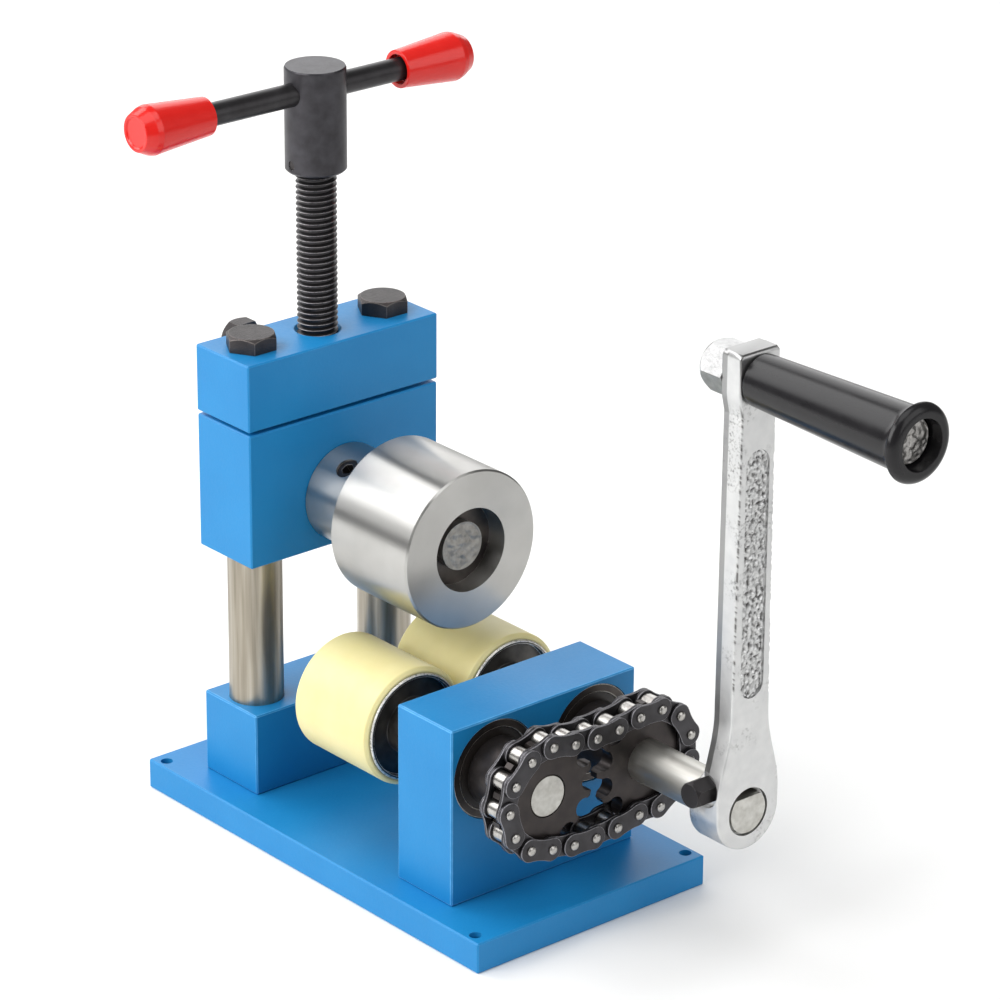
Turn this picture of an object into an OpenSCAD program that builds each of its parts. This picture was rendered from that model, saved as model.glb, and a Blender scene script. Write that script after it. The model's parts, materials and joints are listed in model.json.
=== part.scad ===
// Bracelet bending machine: a hand-cranked three-roller bender on a flat base plate.
// Two sleeved rollers below turn together through a roller chain. The press roller above
// them rides on two columns and is set by a screw with a tommy bar.
// Millimetres, +Z up, crank and chain at the front (-Y). The origin is the centre of the
// base plate's underside.

/* [Base plate] */
// Width of the base plate
base_w = 100; // [96:1:130]
// Depth of the base plate, front to back
base_d = 180; // [176:1:220]
// Thickness of the base plate
base_t = 11; // [9:0.5:14]
// Diameter of the four mounting holes
mount_hole_d = 4.3; // [3.5:0.1:5]
// Distance of the mounting holes from the long edges
mount_inset_x = 3.7; // [3.5:0.1:6]
// Distance of the mounting holes from the short edges
mount_inset_y = 5.6; // [4:0.1:9]
// Chamfer along the edges of the plate and the painted blocks
block_chamfer = 0.5; // [0.3:0.1:1.2]

/* [Press frame] */
// Distance of the column plane behind the centre of the base
rear_y = 57; // [52:1:64]
// Distance of the press frame's middle to the right of the base's middle
rear_x = 1.5; // [-2:0.5:2]
// Depth of the foot block, the slide block and the crosshead
rear_d = 29; // [27:0.5:34]
// Width of the foot block
foot_w = 80; // [79:1:90]
// Height of the foot block
foot_h = 30; // [24:1:36]
// Diameter of the two columns
column_d = 19; // [16:0.5:20]
// Distance between the column axes
column_pitch = 56.8; // [52:0.2:58]
// Height of the crosshead's underside above the bench
crosshead_z = 146; // [142:1:165]
// Width of the crosshead
crosshead_w = 82; // [80:1:90]
// Height of the crosshead
crosshead_h = 24; // [20:1:30]
// Depth of the column seats in the crosshead
column_seat = 6; // [3:0.5:9]
// Width across the flats of the column bolts
column_bolt_af = 16; // [15:0.5:17]
// Length of the column bolts under the head
column_bolt_len = 40; // [32:1:50]
// Distance of the lock bolt's head behind the crosshead
lock_bolt_out = 25.5; // [6:0.5:30]

/* [Slide block] */
// Width of the slide block
slide_w = 81.6; // [80:0.2:88]
// Height of the slide block
slide_h = 48.5; // [46:0.5:54]
// Gap between the slide block and the crosshead at rest
slide_gap = 1.2; // [1:0.1:4]
// Height of the press shaft above the slide block's underside
press_axis_up = 18.5; // [16:0.5:19.5]
// Outer diameter of the press shaft's bushes
bush_d = 24; // [22:0.5:25]
// Length of each bush
bush_len = 11; // [8:0.5:13]

/* [Press roller] */
// Diameter of the press roller
roller_d = 56; // [50:0.5:60]
// Length of the press roller
roller_len = 40; // [36:0.5:44]
// Place of the press roller's front face along Y
roller_front_y = -24.5; // [-28:0.5:-20]
// Diameter of the recess in its front face
recess_d = 29.5; // [25:0.5:34]
// Depth of that recess
recess_depth = 8; // [6:0.5:12]
// Diameter of the hub behind the roller
roller_hub_d = 35; // [32:0.5:38]
// Diameter of the press shaft
press_shaft_d = 17; // [15:0.5:18]
// Distance of the shaft's front end behind the roller's front face
press_shaft_in = 4.5; // [3:0.5:6]
// Diameter of the grub screw in the hub
hub_grub_d = 8; // [5:0.5:8]
// Turn of that grub screw from straight up, towards the left
hub_grub_turn = 32; // [0:1:90]

/* [Press screw] */
// Outside diameter of the screw's thread
screw_d = 14; // [13:0.1:15]
// Thread that stands free above the crosshead at rest
screw_free = 57; // [45:0.5:70]
// Diameter of the hub on the screw
t_hub_d = 21; // [19:0.5:26]
// Height of the hub on the screw
t_hub_h = 36.5; // [34:0.5:44]
// Depth of the screw's seat in the hub
screw_seat = 18; // [14:0.5:20]
// Diameter of the cross pin through hub and screw
cross_pin_d = 3; // [2.5:0.5:4]
// Height of the cross pin above the hub's lower face
cross_pin_up = 3.4; // [3:0.1:8]
// Diameter of the neck turned in the screw's lower end
neck_d = 9; // [8:0.5:10]
// Diameter of the two pins that hold the neck
neck_pin_d = 4; // [3:0.5:5]
// Depth of the neck pins below the slide block's top
neck_down = 8; // [6:0.5:9]

/* [Tommy bar] */
// Diameter of the tommy bar
bar_d = 8; // [7:0.5:9]
// Height of the tommy bar above the hub's lower face
bar_up = 28; // [26:0.5:29]
// Distance over the outer ends of the two grips
bar_span = 138; // [120:1:170]
// Distance of the bar's middle from the screw at rest
bar_offset = -5.2; // [-15:0.1:15]
// Length of each grip
bar_grip_len = 28.5; // [26:0.5:38]
// Diameter of a grip at its mouth
bar_grip_d = 13.2; // [12.4:0.1:15]
// Largest diameter of a grip, near its outer end
bar_grip_max_d = 17.2; // [16:0.1:20]

/* [Lower rollers] */
// Height of the lower shafts above the bench
shaft_z = 56; // [50:0.5:56]
// Diameter of the lower shafts
shaft_d = 15; // [14:0.5:15.5]
// Diameter over the elastomer sleeves
sleeve_d = 42; // [38:0.5:42]
// Thickness of the elastomer sleeves
sleeve_wall = 2; // [1.5:0.1:4]
// Length of the lower rollers
lower_len = 40; // [36:0.5:44]
// Place of the lower rollers' front face along Y
lower_front_y = -23; // [-26:0.5:-20]

/* [Bearing block] */
// Width of the bearing block
block_w = 80; // [80:1:92]
// Depth of the bearing block
block_d = 28; // [26:0.5:32]
// Height of the bearing block
block_h = 64; // [64:0.5:74]
// Place of the bearing block's front face along Y
block_front_y = -64.5; // [-68:0.5:-62]
// Outer diameter of the ball bearings
bearing_d = 35; // [34:0.5:36]
// Width of the ball bearings
bearing_w = 11; // [10:0.5:12]

/* [Chain drive] */
// Pitch of the roller chain
chain_pitch = 9.525; // [9.5:0.005:9.6]
// Sag of the chain between the sprockets
chain_sag = 2.2; // [1:0.1:3]
// Place of the sprockets' front face along Y
sprocket_front_y = -90.8; // [-96:0.2:-88]
// Width of the sprockets' teeth
sprocket_t = 5.2; // [4.6:0.1:5.3]
// Diameter of the sprockets' hubs
sprocket_hub_d = 24; // [22:0.5:25]

/* [Crank] */
// Place of the crank's front face along Y
crank_front_y = -140.5; // [-150:0.5:-130]
// Distance from the shaft to the handle
crank_len = 149.5; // [130:0.5:170]
// Diameter of the crank's eye
eye_d = 26.6; // [25:0.2:30]
// Thickness of the crank's eye
eye_t = 14; // [13:0.5:18]
// Thickness of the crank's arm
arm_t = 9; // [8:0.5:12]
// Width of the arm above the eye
arm_low_w = 16.8; // [15:0.2:20]
// Width of the arm at the handle
arm_top_w = 14.4; // [13:0.2:17]
// Width of the arm's end round the handle
arm_end_w = 17.2; // [15:0.2:20]
// Length of the arm past the handle's axis
arm_over = 9.6; // [9:0.2:14]
// Width of the recess in the arm's front
slot_w = 10; // [6:0.2:11]
// Length of that recess
slot_len = 85.5; // [60:0.5:95]
// Depth of that recess
slot_depth = 1.4; // [0.5:0.1:2]
// Diameter of the cotter bolt
cotter_d = 7.5; // [7:0.5:9]
// Height of the flat on the shaft above its axis
shaft_flat_up = 5.2; // [4.5:0.1:6]

/* [Handle] */
// Diameter of the handle's grip at the arm
grip_d = 17.4; // [16:0.2:20]
// Diameter of the grip in front of its flange
grip_end_d = 21.2; // [18:0.2:22]
// Length of the handle's grip
grip_len = 70.5; // [60:0.5:100]
// Diameter of the grip's end flange
grip_flange_d = 26; // [25:0.2:30]
// Diameter of the recess in the grip's end
grip_recess_d = 16.8; // [16:0.1:18]
// Diameter of the spindle inside the grip
spindle_d = 12; // [11:0.5:13]

/* [Hidden] */
$fn = 64;

// Radial gaps: a seat that holds, a fit that turns or slides, and a piece that clears another
seat_gap = 0.02;
run_gap = 0.05;
clear_gap = 0.3;

// Places along Z
foot_top_z = base_t + foot_h;
slide_top_z = crosshead_z - slide_gap;
slide_z = slide_top_z - slide_h;
press_z = slide_z + press_axis_up;
crosshead_top_z = crosshead_z + crosshead_h;
column_top_z = crosshead_z + column_seat;
t_hub_z = crosshead_top_z + screw_free;
bar_z = t_hub_z + bar_up;

// Places along Y
rear_front_y = rear_y - rear_d / 2;
rear_back_y = rear_y + rear_d / 2;
roller_back_y = roller_front_y + roller_len;
block_back_y = block_front_y + block_d;
lower_back_y = lower_front_y + lower_len;
sprocket_back_y = sprocket_front_y + sprocket_t;
chain_y = sprocket_front_y + sprocket_t / 2;
eye_back_y = crank_front_y + eye_t;
arm_back_y = crank_front_y + arm_t;

// Fasteners of the frame
column_bolt_d = 10;
column_bolt_head_h = 5.4;
lock_bolt_d = 8;
lock_bolt_af = 13;
lock_bolt_head_h = 6.5;
lock_bolt_z = crosshead_z + 7.7;
block_screw_d = 6;
block_screw_head_d = 10;
block_screw_head_h = 6;
block_screw_len = 18;
foot_screw_x = 9;
bearing_screw_x = 26;
screw_recess = block_screw_head_h + 0.5;

// Countersink of the crosshead's thread, and the press screw's lower end
screw_sink = 1.2;
neck_h = neck_pin_d + 2 * run_gap;
tail_h = 4;
screw_foot_z = slide_top_z - neck_down - neck_h / 2 - tail_h;
neck_pin_x = (neck_d + neck_pin_d) / 2 + run_gap;
neck_pin_len = rear_d - 4;

// Press shaft's rear end
washer_t = 2;
ring_t = 1.2;
ring_groove = 0.8;
shaft_tail = 2.5;
washer_d = bush_d + 6;
press_shaft_front_y = roller_front_y + press_shaft_in;
washer_y = rear_back_y + run_gap;
ring_y = washer_y + washer_t + run_gap;
press_shaft_back_y = ring_y + ring_t + shaft_tail;

// Tommy bar and its grips
bar_half = bar_span / 2;
bar_in_grip = bar_grip_len - 6;

// Ball bearings
bearing_set_back = 0.5;
inner_wall = 2.9;
outer_wall = 3.1;
inner_ring_r = shaft_d / 2 + inner_wall;
outer_ring_r = bearing_d / 2 - outer_wall;
ball_pitch_r = (inner_ring_r + outer_ring_r) / 2;
ball_d = 6;
ball_count = 8;
seal_t = 0.8;
bearing_front_y = block_front_y + bearing_set_back + bearing_w / 2;
bearing_rear_y = block_back_y - bearing_set_back - bearing_w / 2;

// Turned ends of the lower rollers
core_recess = 2.5;
core_rim = 1.4;
sleeve_short = 0.5;
boss_d = 2 * inner_ring_r - 0.6;

// Roller chain: standard sizes for this pitch, and the layout of its links
chain_roller_d = 6.35;
chain_bush_d = 4.6;
chain_pin_d = 3.28;
chain_inner_w = 5.72;
chain_plate_h = 8.2;
chain_web_h = 7.8;
chain_waist_h = 7.3;
inner_plate_t = 1.3;
outer_plate_t = 1.05;
plate_gap = 0.1;
pin_out = 1;
inner_face = chain_inner_w / 2;
outer_face = inner_face + inner_plate_t + plate_gap;
pin_half = outer_face + outer_plate_t + pin_out;
teeth = 12;
run_links = 4;
left_links = teeth / 2;
right_links = teeth / 2 + 1;
tooth_turn = 360 / teeth;
pitch_r = chain_pitch / 2 / sin(tooth_turn / 2);
seat_r = chain_roller_d / 2 + clear_gap;
tip_r = pitch_r + 1.9;
tooth_tip_w = 1.4;
sprocket_grub_d = 5;

// Slope of the first link of a sagging run, and the distance that a run spans
sag_slope = 0.75 * chain_sag / chain_pitch * 180 / PI;
function run_slope(i) = sag_slope * (2 * i / (run_links - 1) - 1);
function sum_to(v, n, i = 0) = i >= n ? 0 * v[0] : v[i] + sum_to(v, n, i + 1);
run_steps = [for (i = [0 : run_links - 1]) chain_pitch * [cos(run_slope(i)), sin(run_slope(i))]];
run_chord = sum_to(run_steps, run_links)[0];

// Distance between the lower shafts, which a whole number of links sets
run_drop = pitch_r * (1 - cos(tooth_turn / 2));
shaft_pitch = chain_pitch / 2 + sqrt(run_chord * run_chord - run_drop * run_drop);
shaft_x = shaft_pitch / 2;

// Lower rollers, whose sleeves stay clear of each other
sleeve_od = min(sleeve_d, shaft_pitch - 0.4);
core_d = sleeve_od - 2 * sleeve_wall;

// Chain pins in the XZ plane, in order round the loop from the lower right of the drive sprocket
function seat_point(x, a) = [x + pitch_r * cos(a), pitch_r * sin(a)];
function turned(p, a) = [p[0] * cos(a) - p[1] * sin(a), p[0] * sin(a) + p[1] * cos(a)];
function run_point(from, lean, i) = from + turned(sum_to(run_steps, i), lean);
run_lean = asin(run_drop / run_chord);
left_top = seat_point(-shaft_x, 90);
left_bottom = seat_point(-shaft_x, 270);
right_top = 90 + tooth_turn / 2;
right_bottom = -right_top;
low_links = 2;
chain_points = concat(
  [for (i = [low_links : -1 : 0]) seat_point(shaft_x, right_bottom + i * tooth_turn)],
  [for (i = [run_links - 1 : -1 : 1]) run_point(left_bottom, run_lean, i)],
  [for (i = [0 : left_links]) seat_point(-shaft_x, 270 - i * tooth_turn)],
  [for (i = [1 : run_links - 1]) run_point(left_top, -run_lean, i)],
  [for (i = [0 : right_links - low_links - 1]) seat_point(shaft_x, right_top - i * tooth_turn)]
);
chain_count = len(chain_points);

// Crank and its fasteners
handle_z = shaft_z + crank_len;
flare_low = 5;
flare_high = 34;
cotter_z = shaft_flat_up + cotter_d / 2 + seat_gap;
cotter_y = crank_front_y + eye_t / 2;
cotter_face = eye_d / 2 - 2;
cotter_head_af = 8.4;
cotter_head_h = 8.2;
cotter_nut_h = 3.8;
cotter_tail = 4.8;
cotter_tail_d = 6;
spindle_thread_d = 10;
spindle_nut_af = 15.4;
spindle_nut_h = 11;
spindle_nut_len = 15;
grip_gap = 0.4;
grip_recess = 8.4;
spindle_head_d = 15.2;
spindle_head_h = 3;
grip_back_y = crank_front_y - grip_gap;
grip_end_y = grip_back_y - grip_len;
spindle_head_y = grip_end_y + grip_recess - grip_gap;

// Colours
paint_blue = [0.12, 0.45, 0.78];
bright_steel = [0.75, 0.75, 0.74];
dark_steel = [0.2, 0.2, 0.2];
black_oxide = [0.12, 0.12, 0.12];
cast_chrome = [0.82, 0.82, 0.8];
sleeve_cream = [0.95, 0.9, 0.68];
grip_red = [0.9, 0.12, 0.1];
bronze = [0.72, 0.5, 0.28];
black_plastic = [0.08, 0.08, 0.08];
seal_black = [0.05, 0.05, 0.05];

// Basic shapes

// A round bar along Y from y0 to y1
module bar_y(d, y0, y1) {
  translate([0, y0, 0])
    rotate([-90, 0, 0])
      cylinder(d = d, h = y1 - y0);
}

// A round bar along X from x0 to x1
module bar_x(d, x0, x1) {
  translate([x0, 0, 0])
    rotate([0, 90, 0])
      cylinder(d = d, h = x1 - x0);
}

// A hexagonal prism on Z, given its width across the flats
module hex(af, h) {
  cylinder(d = af / cos(30), h = h, $fn = 6);
}

// A hexagonal head whose free end is turned to a bevel
module bevelled_hex(af, h) {
  intersection() {
    hex(af, h);
    cylinder(d1 = af * 1.9, d2 = af * 0.96, h = h);
  }
}

// A block that stands on z = 0, centred on Z, with every edge chamfered
module chamfered_block(w, d, h, c) {
  hull() {
    for (s = [[w, d - 2 * c, h - 2 * c], [w - 2 * c, d, h - 2 * c], [w - 2 * c, d - 2 * c, h]])
      translate([-s[0] / 2, -s[1] / 2, (h - s[2]) / 2])
        cube(s);
  }
}

// A flat ring on Z
module ring(outer_d, inner_d, h) {
  difference() {
    cylinder(d = outer_d, h = h);
    translate([0, 0, -1])
      cylinder(d = inner_d, h = h + 2);
  }
}

// A grub screw on Z with its socket up, top at z = 0
module grub_screw(d, len) {
  difference() {
    translate([0, 0, -len])
      cylinder(d = d, h = len);
    translate([0, 0, -d * 0.45])
      hex(d * 0.5, d);
  }
}

// Places that several pieces share

module at_columns() {
  for (s = [-1, 1])
    translate([rear_x + s * column_pitch / 2, rear_y, 0])
      children();
}

module at_drive() {
  translate([shaft_x, 0, shaft_z])
    children();
}

module at_driven() {
  translate([-shaft_x, 0, shaft_z])
    children();
}

module at_press() {
  translate([rear_x, 0, press_z])
    children();
}

module at_screw() {
  translate([rear_x, rear_y, 0])
    children();
}

module at_handle() {
  translate([shaft_x, 0, handle_z])
    children();
}

module at_block_screws() {
  for (s = [-1, 1]) {
    translate([rear_x + s * foot_screw_x, rear_y, 0])
      children();
    translate([s * bearing_screw_x, block_front_y + block_d / 2, 0])
      children();
  }
}

// Both bearings of one shaft, each turned so that its axis lies along Y
module at_bearing_pair() {
  for (y = [bearing_front_y, bearing_rear_y])
    translate([0, y, 0])
      rotate([90, 0, 0])
        children();
}

module at_all_bearings() {
  at_drive()
    at_bearing_pair()
      children();
  at_driven()
    at_bearing_pair()
      children();
}

// Frame

module base_plate() {
  hole_x = base_w / 2 - mount_inset_x;
  hole_y = base_d / 2 - mount_inset_y;
  color(paint_blue)
    difference() {
      chamfered_block(base_w, base_d, base_t, block_chamfer);
      for (x = [-hole_x, hole_x], y = [-hole_y, hole_y])
        translate([x, y, -1])
          cylinder(d = mount_hole_d, h = base_t + 2);
      at_block_screws() {
        translate([0, 0, -1])
          cylinder(d = block_screw_d + 2 * clear_gap, h = base_t + 2);
        translate([0, 0, -1])
          cylinder(d = block_screw_head_d + 1, h = screw_recess + 1);
      }
    }
}

module foot_block() {
  color(paint_blue)
    difference() {
      translate([rear_x, rear_y, base_t])
        chamfered_block(foot_w, rear_d, foot_h, block_chamfer);
      at_columns()
        translate([0, 0, base_t - 1])
          cylinder(d = column_d + 2 * seat_gap, h = foot_h + 2);
      at_block_screws()
        tapped_hole();
    }
}

module tapped_hole() {
  cylinder(d = block_screw_d + 2 * seat_gap, h = screw_recess + block_screw_len + 2);
}

// One column: seated in the foot block below and in the crosshead above, tapped for its bolt
module column(side) {
  color(bright_steel)
    translate([rear_x + side * column_pitch / 2, rear_y, 0])
      difference() {
        translate([0, 0, base_t])
          cylinder(d = column_d, h = column_top_z - base_t);
        translate([0, 0, crosshead_top_z - column_bolt_len - 3])
          cylinder(d = column_bolt_d + 2 * seat_gap, h = column_bolt_len + 3);
      }
}

module left_column() {
  column(-1);
}

module right_column() {
  column(1);
}

module crosshead() {
  color(paint_blue)
    difference() {
      translate([rear_x, rear_y, crosshead_z])
        chamfered_block(crosshead_w, rear_d, crosshead_h, block_chamfer);
      at_columns() {
        translate([0, 0, crosshead_z - 1])
          cylinder(d = column_d + 2 * seat_gap, h = column_seat + 1);
        translate([0, 0, crosshead_z])
          cylinder(d = column_bolt_d + 2 * clear_gap, h = crosshead_h + 1);
      }
      at_screw() {
        translate([0, 0, crosshead_z - 1])
          cylinder(d = screw_d + 2 * run_gap, h = crosshead_h + 2);
        translate([0, 0, crosshead_top_z - screw_sink])
          cylinder(d1 = screw_d, d2 = screw_d + 4 * screw_sink, h = 2 * screw_sink);
      }
      translate([rear_x, 0, lock_bolt_z])
        bar_y(lock_bolt_d + 2 * run_gap, rear_y, rear_back_y + 1);
    }
}

module column_bolts() {
  color(black_oxide)
    at_columns()
      translate([0, 0, crosshead_top_z]) {
        bevelled_hex(column_bolt_af, column_bolt_head_h);
        translate([0, 0, -column_bolt_len])
          cylinder(d = column_bolt_d, h = column_bolt_len);
      }
}

// Hex bolt through the crosshead's back, whose tip presses on the screw to lock it
module lock_bolt() {
  tip_y = rear_y + screw_d / 2 + clear_gap;
  color(dark_steel)
    translate([rear_x, 0, lock_bolt_z]) {
      bar_y(lock_bolt_d, tip_y, rear_back_y + lock_bolt_out);
      translate([0, rear_back_y + lock_bolt_out, 0])
        rotate([-90, 0, 0])
          bevelled_hex(lock_bolt_af, lock_bolt_head_h);
    }
}

module bearing_block() {
  seat_depth = bearing_set_back + bearing_w;
  color(paint_blue)
    difference() {
      translate([0, block_front_y + block_d / 2, base_t])
        chamfered_block(block_w, block_d, block_h, block_chamfer);
      for (s = [-1, 1])
        translate([s * shaft_x, 0, shaft_z]) {
          bar_y(bearing_d - 6, block_front_y - 1, block_back_y + 1);
          bar_y(bearing_d + 2 * seat_gap, block_front_y - 1, block_front_y + seat_depth);
          bar_y(bearing_d + 2 * seat_gap, block_back_y - seat_depth, block_back_y + 1);
        }
      at_block_screws()
        tapped_hole();
    }
}

// Socket-head cap screws that come up through the base plate
module block_screws() {
  color(dark_steel)
    at_block_screws()
      translate([0, 0, screw_recess]) {
        difference() {
          translate([0, 0, -block_screw_head_h])
            cylinder(d = block_screw_head_d, h = block_screw_head_h);
          translate([0, 0, -block_screw_head_h - 1])
            hex(block_screw_d * 0.83, 4);
        }
        cylinder(d = block_screw_d, h = block_screw_len);
      }
}

// Ball bearings

// Half section of a bearing ring, with the groove that the balls run in
module race_section(r0, r1) {
  difference() {
    translate([r0, -bearing_w / 2])
      square([r1 - r0, bearing_w]);
    translate([ball_pitch_r, 0])
      circle(d = ball_d + 2 * run_gap);
  }
}

module bearing_outer_rings() {
  color(dark_steel)
    at_all_bearings()
      rotate_extrude()
        race_section(outer_ring_r, bearing_d / 2);
}

module bearing_inner_ring_pair() {
  color(bright_steel)
    at_bearing_pair()
      rotate_extrude()
        race_section(shaft_d / 2 + seat_gap, inner_ring_r);
}

module drive_inner_rings() {
  at_drive()
    bearing_inner_ring_pair();
}

module driven_inner_rings() {
  at_driven()
    bearing_inner_ring_pair();
}

module bearing_balls() {
  color(bright_steel)
    at_all_bearings()
      for (i = [0 : ball_count - 1])
        rotate(i * 360 / ball_count)
          translate([ball_pitch_r, 0, 0])
            sphere(d = ball_d);
}

module bearing_seals() {
  color(seal_black)
    at_all_bearings()
      for (s = [-1, 1])
        translate([0, 0, s * (bearing_w / 2 - seal_t) - seal_t / 2])
          ring(2 * (outer_ring_r - seat_gap), 2 * (inner_ring_r + clear_gap), seal_t);
}

// Slide block and press roller

module slide_block() {
  pocket_z = screw_foot_z - clear_gap;
  color(paint_blue)
    difference() {
      translate([rear_x, rear_y, slide_z])
        chamfered_block(slide_w, rear_d, slide_h, block_chamfer);
      at_columns()
        translate([0, 0, slide_z - 1])
          cylinder(d = column_d + 2 * run_gap, h = slide_h + 2);
      at_press()
        bar_y(bush_d + 2 * seat_gap, rear_front_y - 1, rear_back_y + 1);
      at_screw()
        translate([0, 0, pocket_z])
          cylinder(d = screw_d + 2 * run_gap, h = slide_top_z - pocket_z + 1);
      at_neck_pins()
        bar_y(neck_pin_d + 2 * seat_gap, rear_back_y - neck_pin_len - 1, rear_back_y + 1);
    }
}

module at_neck_pins() {
  for (s = [-1, 1])
    translate([rear_x + s * neck_pin_x, 0, slide_top_z - neck_down])
      children();
}

module press_bushes() {
  color(bronze)
    at_press()
      for (y = [rear_front_y, rear_back_y - bush_len])
        translate([0, y, 0])
          rotate([-90, 0, 0])
            ring(bush_d, press_shaft_d + 2 * run_gap, bush_len);
}

// Two pins from the back of the slide block, one on each side of the screw's neck
module neck_pins() {
  color(bright_steel)
    at_neck_pins()
      bar_y(neck_pin_d, rear_back_y - neck_pin_len - 0.5, rear_back_y - 0.5);
}

module press_shaft() {
  color(bright_steel)
    at_press()
      difference() {
        bar_y(press_shaft_d, press_shaft_front_y, press_shaft_back_y);
        translate([0, ring_y - seat_gap, 0])
          rotate([-90, 0, 0])
            ring(press_shaft_d + 2, press_shaft_d - 2 * ring_groove, ring_t + 2 * seat_gap);
      }
}

module at_hub_grub() {
  translate([0, (roller_back_y + rear_front_y) / 2 + 1, 0])
    rotate([0, -hub_grub_turn, 0])
      children();
}

// Turned roller with its hub in one piece, bored for the shaft and tapped for a grub screw
module press_roller() {
  edge = 0.6;
  hub_back_y = rear_front_y - clear_gap;
  color(bright_steel)
    at_press()
      difference() {
        translate([0, roller_front_y, 0])
          rotate([-90, 0, 0])
            union() {
              cylinder(d1 = roller_d - 2 * edge, d2 = roller_d, h = edge);
              translate([0, 0, edge])
                cylinder(d = roller_d, h = roller_len - 2 * edge);
              translate([0, 0, roller_len - edge])
                cylinder(d1 = roller_d, d2 = roller_d - 2 * edge, h = edge);
              cylinder(d = roller_hub_d, h = hub_back_y - roller_front_y);
            }
        bar_y(press_shaft_d + 2 * seat_gap, roller_front_y - 1, hub_back_y + 1);
        bar_y(recess_d, roller_front_y - 1, roller_front_y + recess_depth);
        at_hub_grub()
          cylinder(d = hub_grub_d + 2 * seat_gap, h = roller_hub_d);
      }
}

module roller_grub_screw() {
  sink = 0.8;
  grub_len = (roller_hub_d - press_shaft_d) / 2 - sink - seat_gap;
  color(black_oxide)
    at_press()
      at_hub_grub()
        translate([0, 0, roller_hub_d / 2 - sink])
          grub_screw(hub_grub_d, grub_len);
}

module thrust_washer() {
  color(bronze)
    at_press()
      translate([0, washer_y, 0])
        rotate([-90, 0, 0])
          ring(washer_d, press_shaft_d + 2 * seat_gap, washer_t);
}

// Snap ring in the shaft's groove, open at the bottom
module retaining_ring() {
  color(dark_steel)
    at_press()
      translate([0, ring_y, 0])
        rotate([-90, 0, 0])
          difference() {
            ring(press_shaft_d + 4, press_shaft_d - 2 * ring_groove + 2 * seat_gap, ring_t);
            translate([-2, 0, -1])
              cube([4, press_shaft_d, ring_t + 2]);
          }
}

// Press screw and tommy bar

module press_screw() {
  neck_z = slide_top_z - neck_down - neck_h / 2;
  color(black_oxide)
    at_screw()
      difference() {
        translate([0, 0, screw_foot_z])
          cylinder(d = screw_d, h = t_hub_z + screw_seat - screw_foot_z);
        translate([0, 0, neck_z])
          ring(screw_d + 2, neck_d, neck_h);
        translate([0, 0, t_hub_z + cross_pin_up])
          bar_x(cross_pin_d + 2 * seat_gap, -screw_d, screw_d);
      }
}

module screw_hub() {
  bevel = 0.8;
  color(black_oxide)
    at_screw()
      difference() {
        translate([0, 0, t_hub_z]) {
          cylinder(d1 = t_hub_d - 2 * bevel, d2 = t_hub_d, h = bevel);
          translate([0, 0, bevel])
            cylinder(d = t_hub_d, h = t_hub_h - 2 * bevel);
          translate([0, 0, t_hub_h - bevel])
            cylinder(d1 = t_hub_d, d2 = t_hub_d - bevel, h = bevel);
        }
        translate([0, 0, t_hub_z - 1])
          cylinder(d = screw_d + 2 * seat_gap, h = screw_seat + seat_gap + 1);
        translate([0, 0, t_hub_z + cross_pin_up])
          bar_x(cross_pin_d + 2 * seat_gap, -t_hub_d, t_hub_d);
        translate([0, 0, bar_z])
          bar_x(bar_d + 2 * run_gap, -t_hub_d, t_hub_d);
      }
}

module cross_pin() {
  color(dark_steel)
    at_screw()
      translate([0, 0, t_hub_z + cross_pin_up])
        bar_x(cross_pin_d, -t_hub_d / 2 + 0.3, t_hub_d / 2 - 0.3);
}

module at_bar() {
  translate([rear_x + bar_offset, rear_y, bar_z])
    children();
}

module tommy_bar() {
  half = bar_half - bar_grip_len + bar_in_grip;
  color(black_oxide)
    at_bar()
      bar_x(bar_d, -half, half);
}

// Half section of a red grip: mouth at 0, outer end at bar_grip_len
module bar_grip_section() {
  mouth_r = bar_grip_d / 2;
  max_r = bar_grip_max_d / 2;
  full_at = bar_grip_len - 6;
  face_r = max_r - 2.4;
  hole_r = bar_d / 2 + seat_gap;
  lip_r = bar_d / 2 + 1.1;
  polygon([
    [lip_r, 0], [mouth_r - 0.8, 0], [mouth_r, 0.8], [max_r, full_at], [max_r, full_at + 1.5],
    [face_r, bar_grip_len], [face_r - 0.7, bar_grip_len], [face_r - 1.1, bar_grip_len - 0.6],
    [0, bar_grip_len - 0.6], [0, bar_in_grip], [hole_r, bar_in_grip], [hole_r, 3], [lip_r, 3]
  ]);
}

module bar_grip(side) {
  color(grip_red)
    at_bar()
      translate([side * (bar_half - bar_grip_len), 0, 0])
        rotate([0, side * 90, 0])
          rotate_extrude()
            bar_grip_section();
}

module left_bar_grip() {
  bar_grip(-1);
}

module right_bar_grip() {
  bar_grip(1);
}

// Lower rollers

// Half section of a roller core: boss against the bearing at the front, dished ends
module core_section(length, boss_len) {
  bore_r = shaft_d / 2 + seat_gap;
  core_r = core_d / 2;
  rim_r = core_r - core_rim;
  polygon([
    [bore_r, -boss_len], [boss_d / 2, -boss_len], [boss_d / 2, core_recess], [rim_r, core_recess],
    [rim_r, 0], [core_r - 0.4, 0], [core_r, 0.4], [core_r, length - 0.4], [core_r - 0.4, length],
    [rim_r, length], [rim_r, length - core_recess], [boss_d / 2, length - core_recess],
    [boss_d / 2, length], [bore_r, length]
  ]);
}

module lower_core() {
  boss_len = lower_front_y - (bearing_rear_y + bearing_w / 2);
  color(dark_steel)
    translate([0, lower_front_y, 0])
      rotate([-90, 0, 0])
        rotate_extrude()
          core_section(lower_len, boss_len);
}

module lower_sleeve() {
  color(sleeve_cream)
    translate([0, lower_front_y + sleeve_short, 0])
      rotate([-90, 0, 0])
        ring(sleeve_od, core_d + 2 * seat_gap, lower_len - 2 * sleeve_short);
}

module drive_roller_core() {
  at_drive()
    lower_core();
}

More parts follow.
